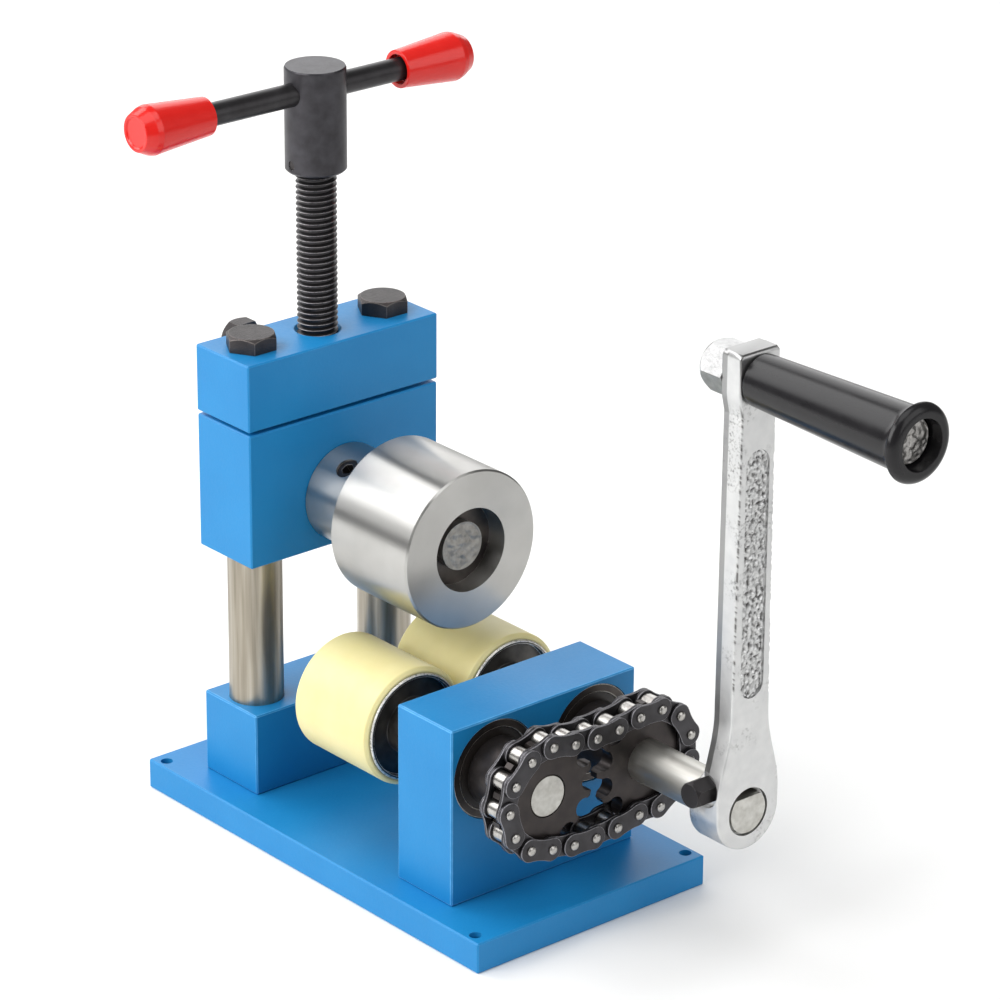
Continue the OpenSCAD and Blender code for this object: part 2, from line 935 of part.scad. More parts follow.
module drive_roller_sleeve() {
  at_drive()
    lower_sleeve();
}

module driven_roller_core() {
  at_driven()
    lower_core();
}

module driven_roller_sleeve() {
  at_driven()
    lower_sleeve();
}

// Shaft that carries the crank, with a flat for the cotter bolt at its front end
module drive_shaft() {
  color(bright_steel)
    at_drive()
      difference() {
        bar_y(shaft_d, crank_front_y, lower_back_y);
        translate([-shaft_d, crank_front_y - 1, shaft_flat_up])
          cube([2 * shaft_d, eye_t + 1, shaft_d]);
      }
}

module driven_shaft() {
  color(bright_steel)
    at_driven()
      bar_y(shaft_d, sprocket_front_y, lower_back_y);
}

// Sprockets

// Space between two teeth: a roller seat that opens outwards to the tips
module tooth_space() {
  half_gap = tip_r * sin(tooth_turn / 2) - tooth_tip_w / 2;
  translate([pitch_r, 0])
    circle(r = seat_r);
  polygon([
    [pitch_r, -seat_r], [tip_r + 0.5, -half_gap - 0.3], [tip_r + 0.5, half_gap + 0.3], [pitch_r, seat_r]
  ]);
}

// Toothed disc on Z, with its first roller seat at the angle given
module toothed_disc(first_seat) {
  side_bevel = 1.1;
  intersection() {
    linear_extrude(sprocket_t)
      difference() {
        circle(r = tip_r);
        for (i = [0 : teeth - 1])
          rotate(first_seat + i * tooth_turn)
            tooth_space();
      }
    rotate_extrude()
      polygon([
        [0, 0], [tip_r - 2 * side_bevel, 0], [tip_r + 0.1, side_bevel],
        [tip_r + 0.1, sprocket_t - side_bevel], [tip_r - 2 * side_bevel, sprocket_t], [0, sprocket_t]
      ]);
  }
}

// Sprocket on Y: teeth at the front, then a long hub that meets the bearing's inner ring
module sprocket(first_seat) {
  ring_face_y = bearing_front_y - bearing_w / 2;
  hub_end_y = ring_face_y - bearing_set_back - clear_gap;
  color(black_oxide)
    difference() {
      union() {
        translate([0, sprocket_back_y, 0])
          rotate([90, 0, 0])
            toothed_disc(first_seat);
        bar_y(sprocket_hub_d, sprocket_back_y - 1, hub_end_y);
        bar_y(boss_d, sprocket_back_y - 1, ring_face_y);
      }
      bar_y(shaft_d + 2 * seat_gap, sprocket_front_y - 1, ring_face_y + 1);
      at_sprocket_grub()
        cylinder(d = sprocket_grub_d + 2 * seat_gap, h = sprocket_hub_d);
    }
}

module at_sprocket_grub() {
  translate([0, (sprocket_back_y + block_front_y) / 2 + 2, 0])
    rotate([0, 180, 0])
      children();
}

module sprocket_grub() {
  sink = 0.4;
  grub_len = (sprocket_hub_d - shaft_d) / 2 - sink - seat_gap;
  color(dark_steel)
    at_sprocket_grub()
      translate([0, 0, sprocket_hub_d / 2 - sink])
        grub_screw(sprocket_grub_d, grub_len);
}

module drive_sprocket() {
  at_drive()
    sprocket(tooth_turn / 2);
}

module drive_grub_screw() {
  at_drive()
    sprocket_grub();
}

module driven_sprocket() {
  at_driven()
    sprocket(0);
}

module driven_grub_screw() {
  at_driven()
    sprocket_grub();
}

// Roller chain

// Places a link's own frame, X along the link from its first pin, at link i of the loop
module at_link(i) {
  a = chain_points[i];
  b = chain_points[(i + 1) % chain_count];
  translate([a[0], chain_y, shaft_z + a[1]])
    rotate([0, -atan2(b[1] - a[1], b[0] - a[0]), 0])
      children();
}

module at_pins() {
  for (p = chain_points)
    translate([p[0], chain_y, shaft_z + p[1]])
      children();
}

// One link plate: two round ends and a web that is drawn in to a waist, from y0 to y0 + t
module link_plate(y0, t, hole_d) {
  end_r = chain_plate_h / 2;
  web_start = sqrt(end_r * end_r - chain_web_h * chain_web_h / 4) + 0.05;
  waist_half = chain_pitch / 2 - web_start;
  waist_depth = (chain_web_h - chain_waist_h) / 2;
  waist_r = (waist_half * waist_half + waist_depth * waist_depth) / (2 * waist_depth);
  difference() {
    union() {
      for (x = [0, chain_pitch])
        translate([x, 0, 0])
          bar_y(chain_plate_h, y0, y0 + t);
      translate([0, y0, -chain_web_h / 2])
        cube([chain_pitch, t, chain_web_h]);
    }
    for (s = [-1, 1])
      translate([chain_pitch / 2, 0, s * (chain_waist_h / 2 + waist_r)])
        bar_y(2 * waist_r, y0 - 1, y0 + t + 1);
    for (x = [0, chain_pitch])
      translate([x, 0, 0])
        bar_y(hole_d, y0 - 1, y0 + t + 1);
  }
}

module chain_outer_plates() {
  color(black_oxide)
    for (i = [0 : 2 : chain_count - 2])
      at_link(i)
        for (y = [-outer_face - outer_plate_t, outer_face])
          link_plate(y, outer_plate_t, chain_pin_d + 2 * seat_gap);
}

module chain_inner_plates() {
  color(black_oxide)
    for (i = [1 : 2 : chain_count - 2])
      at_link(i)
        for (y = [-inner_face - inner_plate_t, inner_face])
          link_plate(y, inner_plate_t, chain_bush_d + 2 * seat_gap);
}

// One plate of the odd link: cranked from outside the last inner link to inside the first outer one
module offset_plate() {
  end_r = chain_plate_h / 2;
  wide_end = chain_pitch * 0.42;
  narrow_end = chain_pitch * 0.58;
  narrow_face = inner_face + inner_plate_t;
  wide_face = outer_face + inner_plate_t;
  difference() {
    intersection() {
      translate([0, 0, -end_r])
        linear_extrude(chain_plate_h)
          polygon([
            [-end_r, outer_face], [wide_end, outer_face], [narrow_end, inner_face],
            [chain_pitch + end_r, inner_face], [chain_pitch + end_r, narrow_face],
            [narrow_end, narrow_face], [wide_end, wide_face], [-end_r, wide_face]
          ]);
      union() {
        for (x = [0, chain_pitch])
          translate([x, 0, 0])
            bar_y(chain_plate_h, 0, pin_half);
        translate([0, 0, -end_r])
          cube([chain_pitch, pin_half, chain_plate_h]);
      }
    }
    bar_y(chain_pin_d + 2 * seat_gap, 0, pin_half);
    translate([chain_pitch, 0, 0])
      bar_y(chain_bush_d + 2 * seat_gap, 0, pin_half);
  }
}

module chain_offset_link() {
  color(black_oxide)
    at_link(chain_count - 1) {
      offset_plate();
      mirror([0, 1, 0])
        offset_plate();
    }
}

module chain_bushes() {
  half = inner_face + inner_plate_t;
  color(dark_steel)
    at_pins()
      translate([0, -half, 0])
        rotate([-90, 0, 0])
          ring(chain_bush_d, chain_pin_d + 2 * run_gap, 2 * half);
}

module chain_rollers() {
  half = inner_face - plate_gap;
  color(bright_steel)
    at_pins()
      translate([0, -half, 0])
        rotate([-90, 0, 0])
          ring(chain_roller_d, chain_bush_d + 2 * run_gap, 2 * half);
}

module chain_pins() {
  color(bright_steel)
    at_pins()
      bar_y(chain_pin_d, -pin_half, pin_half);
}

// Crank and handle

// Half width of the arm at a height above the shaft's axis
function arm_half(z) = (arm_low_w + (arm_top_w - arm_low_w) * z / crank_len) / 2;
function flare_share(z) = (1 + cos(180 * (z - flare_low) / (flare_high - flare_low))) / 2;
function flare_half(z) = arm_half(z) + (eye_d / 2 - arm_half(flare_low)) * flare_share(z);

// Outline of the arm: a smooth flare out of the eye, a slight taper, a wider end with a low crown
module arm_outline() {
  steps = 12;
  top = crank_len + arm_over;
  end_half = arm_end_w / 2;
  end_points = [[arm_half(crank_len), crank_len - 11], [end_half, crank_len - 5], [end_half, top - 2.8],
    [end_half * 0.75, top - 1], [end_half * 0.35, top]];
  right = [for (i = [0 : steps])
    let (z = flare_low + (flare_high - flare_low) * i / steps) [flare_half(z), z]];
  side = concat([[eye_d / 2, 0]], right, end_points);
  mirrored = [for (i = [len(side) - 1 : -1 : 0]) [-side[i][0], side[i][1]]];
  polygon(concat(side, mirrored));
}

// Cast arm: eye on the shaft, cross hole and spot faces for the cotter, recess along the front
module crank_arm() {
  slot_top = crank_len - 23.6;
  color(cast_chrome)
    at_drive()
      difference() {
        union() {
          bar_y(eye_d, crank_front_y, eye_back_y);
          translate([0, arm_back_y, 0])
            rotate([90, 0, 0])
              linear_extrude(arm_t)
                arm_outline();
        }
        bar_y(shaft_d + 2 * seat_gap, crank_front_y - 1, eye_back_y + 1);
        translate([0, cotter_y, cotter_z]) {
          bar_x(cotter_d + 2 * seat_gap, -eye_d, eye_d);
          bar_x(cotter_head_af * 1.4, -eye_d, -cotter_face);
          bar_x(cotter_head_af * 1.4, cotter_face, eye_d);
        }
        for (z = [slot_top - slot_w / 2, slot_top - slot_len + slot_w / 2])
          translate([0, 0, z])
            bar_y(slot_w, crank_front_y - 1, crank_front_y + slot_depth);
        translate([-slot_w / 2, crank_front_y - 1, slot_top - slot_len + slot_w / 2])
          cube([slot_w, slot_depth + 1, slot_len - slot_w]);
        translate([0, 0, crank_len])
          bar_y(spindle_thread_d + 2 * seat_gap, crank_front_y - 1, arm_back_y + 1);
      }
}

// Hex-headed bolt that wedges on the shaft's flat and keys the crank to it
module cotter_bolt() {
  color(black_oxide)
    at_drive()
      translate([0, cotter_y, cotter_z]) {
        bar_x(cotter_d, -cotter_face, cotter_face - 0.5);
        bar_x(cotter_tail_d, 0, cotter_face + cotter_tail);
        translate([-cotter_face, 0, 0])
          rotate([0, -90, 0])
            bevelled_hex(cotter_head_af, cotter_head_h);
      }
}

module cotter_nut() {
  color(bright_steel)
    at_drive()
      translate([cotter_face, cotter_y, cotter_z])
        rotate([0, 90, 0])
          difference() {
            bevelled_hex(cotter_head_af, cotter_nut_h);
            translate([0, 0, -1])
              cylinder(d = cotter_tail_d + 2 * seat_gap, h = cotter_nut_h + 2);
          }
}

// Turned spindle: threaded through the arm, thicker inside the grip, headed at its front end
module handle_spindle() {
  thread_end_y = arm_back_y + spindle_nut_h;
  color(bright_steel)
    at_handle() {
      bar_y(spindle_thread_d, crank_front_y - 1, thread_end_y);
      bar_y(spindle_d, spindle_head_y, crank_front_y);
      bar_y(spindle_head_d, spindle_head_y - spindle_head_h, spindle_head_y);
    }
}

// Domed hex nut behind the arm
module spindle_nut() {
  dome_r = spindle_nut_af * 0.4;
  dome_z = spindle_nut_len - dome_r;
  color(cast_chrome)
    at_handle()
      translate([0, arm_back_y, 0])
        rotate([-90, 0, 0])
          difference() {
            union() {
              bevelled_hex(spindle_nut_af, spindle_nut_h);
              cylinder(r = dome_r, h = dome_z);
              translate([0, 0, dome_z])
                sphere(r = dome_r);
            }
            translate([0, 0, -1])
              cylinder(d = spindle_thread_d + 2 * seat_gap, h = spindle_nut_h + 1 + seat_gap);
          }
}

// Half section of the moulded grip: tapered barrel, bell flange, recess for the spindle's head
module grip_section() {
  barrel_r = grip_end_d / 2;
  start_r = grip_d / 2;
  flange_r = grip_flange_d / 2;
  bore_r = spindle_d / 2 + run_gap;
  recess_r = grip_recess_d / 2;
  lip = 3;
  bell = 4;
  bell_r = flange_r - barrel_r;
  polygon(concat(
    [[bore_r, 0], [start_r - 0.5, 0], [start_r, 0.5]],
    [for (a = [0 : 15 : 75])
      [barrel_r + bell_r * (1 - cos(a)), grip_len - lip - bell + bell * sin(a)]],
    [for (a = [0 : 15 : 90])
      [flange_r - lip * (1 - cos(a)), grip_len - lip + lip * sin(a)]],
    [[recess_r, grip_len], [recess_r, grip_len - grip_recess], [bore_r, grip_len - grip_recess]]
  ));
}

module handle_grip() {
  color(black_plastic)
    at_handle()
      translate([0, grip_back_y, 0])
        rotate([90, 0, 0])
          rotate_extrude()
            grip_section();
}

base_plate();
foot_block();
left_column();
right_column();
crosshead();
column_bolts();
bearing_block();
block_screws();
bearing_outer_rings();
bearing_balls();
bearing_seals();
lock_bolt();
slide_block();
press_bushes();
neck_pins();
press_shaft();
press_roller();
roller_grub_screw();
thrust_washer();
retaining_ring();
press_screw();
screw_hub();
cross_pin();
tommy_bar();
left_bar_grip();
right_bar_grip();
drive_shaft();
drive_inner_rings();
drive_roller_core();
drive_roller_sleeve();
drive_sprocket();
drive_grub_screw();
crank_arm();
cotter_bolt();
cotter_nut();
handle_spindle();
spindle_nut();
handle_grip();
driven_shaft();
driven_inner_rings();
driven_roller_core();
driven_roller_sleeve();
driven_sprocket();
driven_grub_screw();
chain_outer_plates();
chain_inner_plates();
chain_offset_link();
chain_bushes();
chain_rollers();
chain_pins();
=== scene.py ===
# Bracelet bending machine: its looks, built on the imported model.
# Metres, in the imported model's frame: +Z up, the crank at the front (-Y).
import json
import math

import bmesh
import bpy
from mathutils import Matrix, Vector, noise

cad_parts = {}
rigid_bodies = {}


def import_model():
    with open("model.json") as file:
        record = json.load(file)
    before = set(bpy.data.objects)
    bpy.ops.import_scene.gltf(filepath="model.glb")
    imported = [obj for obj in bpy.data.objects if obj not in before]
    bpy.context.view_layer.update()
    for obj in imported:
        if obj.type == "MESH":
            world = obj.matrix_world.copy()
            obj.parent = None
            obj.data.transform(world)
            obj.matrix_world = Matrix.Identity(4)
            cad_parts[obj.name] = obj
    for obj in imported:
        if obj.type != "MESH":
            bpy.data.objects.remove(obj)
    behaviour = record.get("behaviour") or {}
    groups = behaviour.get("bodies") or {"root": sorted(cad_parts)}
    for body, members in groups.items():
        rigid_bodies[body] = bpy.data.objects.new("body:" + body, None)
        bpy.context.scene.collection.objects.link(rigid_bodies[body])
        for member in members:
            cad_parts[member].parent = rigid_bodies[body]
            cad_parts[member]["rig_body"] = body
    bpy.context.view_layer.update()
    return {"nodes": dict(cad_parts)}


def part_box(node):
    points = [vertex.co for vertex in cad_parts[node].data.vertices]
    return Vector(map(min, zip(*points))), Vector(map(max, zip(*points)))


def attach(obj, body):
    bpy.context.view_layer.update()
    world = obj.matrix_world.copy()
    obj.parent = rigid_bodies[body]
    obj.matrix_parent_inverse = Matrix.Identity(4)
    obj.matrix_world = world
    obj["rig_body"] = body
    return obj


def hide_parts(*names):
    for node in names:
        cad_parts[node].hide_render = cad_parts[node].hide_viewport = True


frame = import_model()

# Base plate
# A flat plate of mild steel, milled and sprayed with glossy blue enamel. Four small holes at its
# corners bolt it to a bench, and four sunk cap screws come up through it into the two blocks.
MM = 0.001


def linear(hex_code):
    """The linear RGBA of an sRGB hex colour."""
    shares = [int(hex_code[i:i + 2], 16) / 255 for i in (1, 3, 5)]
    return [s / 12.92 if s <= 0.04045 else ((s + 0.055) / 1.055) ** 2.4 for s in shares] + [1.0]


def per_mm(size):
    """The texture scale whose features are about this many millimetres wide."""
    return 1 / (size * MM)


def add_node(material, kind, settings=None, links=None):
    """Adds one shader node, sets its properties and sockets by name and links its inputs."""
    node = material.node_tree.nodes.new("ShaderNode" + kind)
    for name, value in (settings or {}).items():
        if hasattr(node, str(name)):
            setattr(node, name, value)
        else:
            node.inputs[name].default_value = value
    for name, source in (links or {}).items():
        material.node_tree.links.new(getattr(source, "outputs", [source])[0], node.inputs[name])
    return node


def blank_material(name):
    """A material with no nodes yet, and the Object coordinates that its patterns read."""
    material = bpy.data.materials.new(name)
    material.use_nodes = True
    material.node_tree.nodes.clear()
    return material, add_node(material, "TexCoord").outputs["Object"]


def surfaced(material, settings, links):
    """Ends a material with its shader."""
    shader = add_node(material, "BsdfPrincipled", settings, links)
    add_node(material, "OutputMaterial", {}, {"Surface": shader})
    return material


def blue_enamel():
    """Sprayed enamel: a soft gloss over a fine orange peel, paler in patches on the eased edges, partly where
    the paint is worn thin and partly as a painted highlight.
    """
    material, place = blank_material("blue_enamel")
    drift = add_node(material, "TexNoise", {"Scale": per_mm(24), "Detail": 3}, {"Vector": place})
    peel = add_node(material, "TexNoise", {"Scale": per_mm(1.1), "Detail": 2}, {"Vector": place})
    chips = add_node(material, "TexNoise", {"Scale": per_mm(3), "Detail": 4}, {"Vector": place})
    eased = add_node(material, "Attribute", {"attribute_name": "eased"}).outputs["Fac"]
    # The eased edges are painted paler in patches: partly thin paint, partly a painted highlight.
    worn_thin_and_highlit = add_node(material, "Math", {"operation": "MULTIPLY"}, {0: eased, 1: chips})
    coat = add_node(material, "Mix", {"data_type": "RGBA", 6: linear("#1479b6"), 7: linear("#2087c4")},
                    {0: drift})
    tone = add_node(material, "Mix", {"data_type": "RGBA", 7: linear("#6fb9ee")},
                    {0: worn_thin_and_highlit, 6: coat.outputs[2]})
    gloss = add_node(material, "MapRange", {"To Min": 0.34, "To Max": 0.5}, {"Value": peel})
    bump = add_node(material, "Bump", {"Distance": 0.05 * MM}, {"Height": peel})
    return surfaced(material, {"IOR": 1.5, "Specular IOR Level": 0.3},
                    {"Base Color": tone.outputs[2], "Roughness": gloss, "Normal": bump})


def eased_copy(node, width, segments=2, least_angle=30):
    """A copy of a machined CAD piece with its sharp edges rounded and marked as eased."""
    shape = bmesh.new()
    shape.from_mesh(frame["nodes"][node].data)
    bmesh.ops.remove_doubles(shape, verts=shape.verts, dist=0.001 * MM)
    bmesh.ops.dissolve_limit(shape, angle_limit=math.radians(0.5), verts=shape.verts, edges=shape.edges)
    mark = shape.faces.layers.float.new("eased")
    sharp = [edge for edge in shape.edges if edge.calc_face_angle(0) > math.radians(least_angle)]
    rounded = bmesh.ops.bevel(shape, geom=sharp, offset=width * MM, offset_type="OFFSET", affect="EDGES",
                              segments=segments, profile=0.5, material=-1, clamp_overlap=True)
    for face in rounded["faces"]:
        face[mark] = 1
    return shape


def make_piece(shape, name, material, *stands_for):
    """Turns a finished shape into a piece that rides with the CAD nodes it stands for."""
    mesh = bpy.data.meshes.new(name)
    shape.to_mesh(mesh)
    shape.free()
    mesh.shade_smooth()
    mesh.set_sharp_from_angle(angle=math.radians(50))
    mesh.materials.append(material)
    piece = bpy.data.objects.new(name, mesh)
    bpy.context.scene.collection.objects.link(piece)
    piece.modifiers.new("flat_faces_stay_flat", "WEIGHTED_NORMAL").keep_sharp = True
    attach(piece, frame["nodes"][stands_for[0]]["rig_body"])
    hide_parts(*stands_for)
    return piece


enamel = blue_enamel()
make_piece(eased_copy("base_plate", 0.3), "enamelled_base", enamel, "base_plate")

# Foot block and bearing block
# Two milled steel blocks in the same enamel, stood on the plate and pulled down from below. The
# bearing block is bored right through for two pairs of ball bearings.
make_piece(eased_copy("foot_block", 0.3), "enamelled_foot", enamel, "foot_block")
make_piece(eased_copy("bearing_block", 0.3), "enamelled_bearing_block", enamel, "bearing_block")

# Cap screws under the plate
# Socket-head screws of blackened steel, sunk in the plate's underside.


def dress(node, material):
    """Gives a CAD node its material."""
    frame["nodes"][node].data.materials.clear()
    frame["nodes"][node].data.materials.append(material)


def black_oxide(name, tint, rubbed_and_highlit, roughness, pit_mm=0.01):
    """Blackened steel: a dark satin skin, clouded and finely pitted, paler in patches along its eased edges,
    partly rubbed bare and partly a painted highlight.
    """
    material, place = blank_material(name)
    cloud = add_node(material, "TexNoise", {"Scale": per_mm(5), "Detail": 4}, {"Vector": place})
    grain = add_node(material, "TexNoise", {"Scale": per_mm(0.7), "Detail": 3}, {"Vector": place})
    eased = add_node(material, "Attribute", {"attribute_name": "eased"}).outputs["Fac"]
    wear = add_node(material, "MapRange", {"From Min": 0.2, "From Max": 0.5}, {"Value": grain})
    # The eased edges are painted paler in patches: partly rubbed bare, partly a painted highlight.
    bare = add_node(material, "Math", {"operation": "MULTIPLY"}, {0: eased, 1: wear})
    skin = add_node(material, "Mix", {"data_type": "RGBA", 6: linear(tint), 7: linear("#2c2a2b")}, {0: cloud})
    tone = add_node(material, "Mix", {"data_type": "RGBA", 7: linear(rubbed_and_highlit)}, {0: bare, 6: skin.outputs[2]})
    gloss = add_node(material, "MapRange", {"To Min": roughness - 0.06, "To Max": roughness + 0.06},
                     {"Value": grain})
    bump = add_node(material, "Bump", {"Distance": pit_mm * MM}, {"Height": grain})
    return surfaced(material, {"Metallic": 0.8},
                    {"Base Color": tone.outputs[2], "Roughness": gloss, "Normal": bump})


screw_black = black_oxide("screw_black_oxide", "#3b393a", "#6d6a69", 0.42)
dress("block_screws", screw_black)

# Columns
# Two round bars of drawn steel, pressed into the foot block and bolted to the crosshead. They are
# left bare, so they show faint marks along their length and a warm film of oil.
ALONG = {"X": Vector((1, 0, 0)), "Y": Vector((0, 1, 0)), "Z": Vector((0, 0, 1))}


def axis_of(node, axis):
    """The middle of a CAD node, with its place along the axis left at zero."""
    low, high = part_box(node)
    middle = (low + high) / 2
    return middle - middle.project(ALONG[axis])


def drawn_steel(name, axis, pale, dull, roughness):
    """Bare drawn bar: faint marks run along it under a patchy film of oil, with painted shade darkening its
    eased ends.
    """
    material, place = blank_material(name)
    stretch = Vector((1, 1, 1)) - 0.96 * ALONG[axis]
    drawn_out = add_node(material, "VectorMath", {"operation": "MULTIPLY", 1: stretch}, {0: place})
    streaks = add_node(material, "TexNoise", {"Scale": per_mm(2), "Detail": 5}, {"Vector": drawn_out})
    film = add_node(material, "TexNoise", {"Scale": per_mm(7), "Detail": 3}, {"Vector": drawn_out})
    stain = add_node(material, "Math", {"operation": "ADD"}, {0: streaks, 1: film})
    spread = add_node(material, "MapRange", {"From Min": 0.76, "From Max": 1.24}, {"Value": stain})
    eased = add_node(material, "Attribute", {"attribute_name": "eased"}).outputs["Fac"]
    bare = add_node(material, "Mix", {"data_type": "RGBA", 6: linear(pale), 7: linear(dull)}, {0: spread})
    # Painted shade: the eased ends are darkened as the shade of the gaps at them.
    tone = add_node(material, "Mix", {"data_type": "RGBA", 7: linear("#393632")},
                    {0: eased, 6: bare.outputs[2]})
    gloss = add_node(material, "MapRange", {"To Min": roughness - 0.06, "To Max": roughness + 0.06},
                     {"Value": spread})
    bump = add_node(material, "Bump", {"Distance": 0.004 * MM}, {"Height": streaks})
    return surfaced(material, {"Metallic": 1.0},
                    {"Base Color": tone.outputs[2], "Roughness": gloss, "Normal": bump})


def turned_steel(name, axis, pale, dull, roughness):
    """Bare steel from a lathe or grinder: rings too fine to see draw each reflection out along its axis."""
    material, place = blank_material(name)
    film = add_node(material, "TexNoise", {"Scale": per_mm(11), "Detail": 4}, {"Vector": place})
    tone = add_node(material, "Mix", {"data_type": "RGBA", 6: linear(pale), 7: linear(dull)}, {0: film})
    gloss = add_node(material, "MapRange", {"To Min": roughness - 0.03, "To Max": roughness + 0.03},
                     {"Value": film})
    around = add_node(material, "Tangent", {"direction_type": "RADIAL", "axis": axis})
    return surfaced(material, {"Metallic": 1.0, "Anisotropic": 0.85, "Anisotropic Rotation": 0.25},
                    {"Base Color": tone.outputs[2], "Roughness": gloss, "Tangent": around})


column_steel = drawn_steel("column_steel", "Z", "#b8b1a4", "#8d8577", 0.38)
for side in ("left_column", "right_column"):
    make_piece(eased_copy(side, 0.4), side + "_bar", column_steel, side)

# Ball bearings
# Four sealed ball bearings with rings of hardened steel and black rubber seals, pushed into the
# bearing block from both faces.


def seal_rubber():
    """Moulded nitrile rubber: nearly black, dull, with a fine grain."""
    material, place = blank_material("seal_rubber")
    grain = add_node(material, "TexNoise", {"Scale": per_mm(0.5), "Detail": 3}, {"Vector": place})
    tone = add_node(material, "Mix", {"data_type": "RGBA", 6: linear("#1d1a18"), 7: linear("#35302d")},
                    {0: grain})
    bump = add_node(material, "Bump", {"Distance": 0.01 * MM}, {"Height": grain})
    return surfaced(material, {"Roughness": 0.38}, {"Base Color": tone.outputs[2], "Normal": bump})


DRIVE = axis_of("drive_shaft", "Y")
DRIVEN = axis_of("driven_shaft", "Y")
# The pale colour on the rings' eased edges is a painted highlight: their bright rim line.
ring_steel = black_oxide("bearing_ring_steel", "#5f5954", "#cfcbc4", 0.36)
make_piece(eased_copy("bearing_outer_rings", 0.4), "outer_rings", ring_steel, "bearing_outer_rings")
make_piece(eased_copy("bearing_seals", 0.15), "seals", seal_rubber(), "bearing_seals")
dress("bearing_balls", ring_steel)
make_piece(eased_copy("drive_inner_rings", 0.3), "drive_rings", ring_steel, "drive_inner_rings")
make_piece(eased_copy("driven_inner_rings", 0.3), "driven_rings", ring_steel, "driven_inner_rings")

# Lower shafts
# Two bars of bright drawn steel. The right one runs on to the crank and has a flat milled across
# its front end for the cotter.
shaft_steel = drawn_steel("shaft_steel", "Y", "#cac9c4", "#b3b1ab", 0.44)
make_piece(eased_copy("drive_shaft", 0.5), "drive_bar", shaft_steel, "drive_shaft")
make_piece(eased_copy("driven_shaft", 0.5), "driven_bar", shaft_steel, "driven_shaft")

# Lower rollers
# A dark steel core with dished ends and a pale rim, partly rubbed and partly a painted highlight, and a
# sleeve of cast cream polyurethane with rolled edges, pushed over it, that grips the strip without marking
# it.
SLEEVE_WALL = 2.0
SLEEVE_ROLL = 1.2
CORE_RIM = 3.0
TURN_TO = {"X": Matrix.Rotation(math.pi / 2, 4, "Y"), "Y": Matrix.Rotation(-math.pi / 2, 4, "X"),
           "Z": Matrix.Identity(4)}


def turned(outline, centre, axis, ease=0.3, steps=96, closed=False):
    """Spins a half outline of (radius, place along the axis) points in mm, with its corners rounded."""
    shape = bmesh.new()
    corners = [shape.verts.new((radius * MM, 0, along * MM)) for radius, along in outline]
    for first, second in zip(corners, corners[1:] + corners[:1] * closed):
        shape.edges.new((first, second))
    inner = [corner for corner in corners if corner.co.x > 0 and corner.calc_edge_angle(0) > 0.05]
    bmesh.ops.bevel(shape, geom=inner, offset=ease * MM, offset_type="OFFSET", affect="VERTICES",
                    segments=3, profile=0.5, material=-1, clamp_overlap=True)
    bmesh.ops.spin(shape, geom=shape.verts[:] + shape.edges[:], cent=(0, 0, 0), axis=(0, 0, 1),
                   angle=2 * math.pi, steps=steps, use_merge=True)
    bmesh.ops.remove_doubles(shape, verts=shape.verts, dist=0.001 * MM)
    bmesh.ops.recalc_face_normals(shape, faces=shape.faces)
    bmesh.ops.transform(shape, matrix=Matrix.Translation(centre) @ TURN_TO[axis], verts=shape.verts)
    return shape


def cast_polyurethane():
    """Cast polyurethane: a waxy cream that light enters a little, with a dusty, faintly mottled skin."""
    material, place = blank_material("cream_polyurethane")
    mottle = add_node(material, "TexNoise", {"Scale": per_mm(9), "Detail": 4}, {"Vector": place})
    skin = add_node(material, "TexNoise", {"Scale": per_mm(0.6), "Detail": 2}, {"Vector": place})
    tone = add_node(material, "Mix", {"data_type": "RGBA", 6: linear("#e4daa4"), 7: linear("#dacf90")},
                    {0: mottle})
    gloss = add_node(material, "MapRange", {"To Min": 0.36, "To Max": 0.52}, {"Value": skin})
    bump = add_node(material, "Bump", {"Distance": 0.012 * MM, "Strength": 0.6}, {"Height": skin})
    return surfaced(material, {"IOR": 1.5, "Subsurface Weight": 0.15, "Subsurface Radius": (1.0, 0.7, 0.3),
                               "Subsurface Scale": 2.5 * MM},
                    {"Base Color": tone.outputs[2], "Roughness": gloss, "Normal": bump})


polyurethane = cast_polyurethane()
# Its near-white edge colour is partly rubbed steel and partly a painted highlight on the rim.
core_steel = black_oxide("core_steel", "#77746f", "#f0eee9", 0.36)
for side, centre in (("drive", DRIVE), ("driven", DRIVEN)):
    low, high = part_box(side + "_roller_sleeve")
    outer = (high.x - low.x) / 2 / MM
    front, back = low.y / MM, high.y / MM
    inner = outer - SLEEVE_WALL
    sleeve = turned([(inner, front), (outer - SLEEVE_ROLL, front), (outer, front + SLEEVE_ROLL),
                     (outer, back - SLEEVE_ROLL), (outer - SLEEVE_ROLL, back), (inner, back)], centre, "Y",
                    ease=0.35, steps=128, closed=True)
    make_piece(sleeve, side + "_sleeve", polyurethane, side + "_roller_sleeve")
    core = eased_copy(side + "_roller_core", 0.8)
    # Only the outer rim keeps its eased mark, so only the rim is painted pale: partly rubbed, partly a
    # painted highlight.
    rubbed_and_highlit = core.faces.layers.float["eased"]
    for face in core.faces:
        face[rubbed_and_highlit] *= (face.calc_center_median() - centre).xz.length > (inner - CORE_RIM) * MM
    make_piece(core, side + "_core", core_steel, side + "_roller_core")

# Sprockets
# Twelve-tooth sprockets cut from blackened steel, each with a long hub held on its shaft by a
# grub screw.
sprocket_black = black_oxide("sprocket_black_oxide", "#4a4442", "#75716f", 0.36)
for side in ("drive", "driven"):
    make_piece(eased_copy(side + "_sprocket", 0.2), side + "_teeth", sprocket_black, side + "_sprocket")
    make_piece(eased_copy(side + "_grub_screw", 0.1), side + "_grub", screw_black, side + "_grub_screw")

# Roller chain
# A riveted roller chain: slightly waisted plates of blackened steel, bright rollers between them on
# bushes, and pins whose ends are peened over outside the plates.
PLATE_END_R = 4.1
PLATE_WAIST = 3.65
PIN_D = 3.28
PIN_DOME = 0.45
PIN_FLAT_R = 0.3 * PIN_D
PLATE_EDGE_R = 0.22
HOLE_SIDES = 24


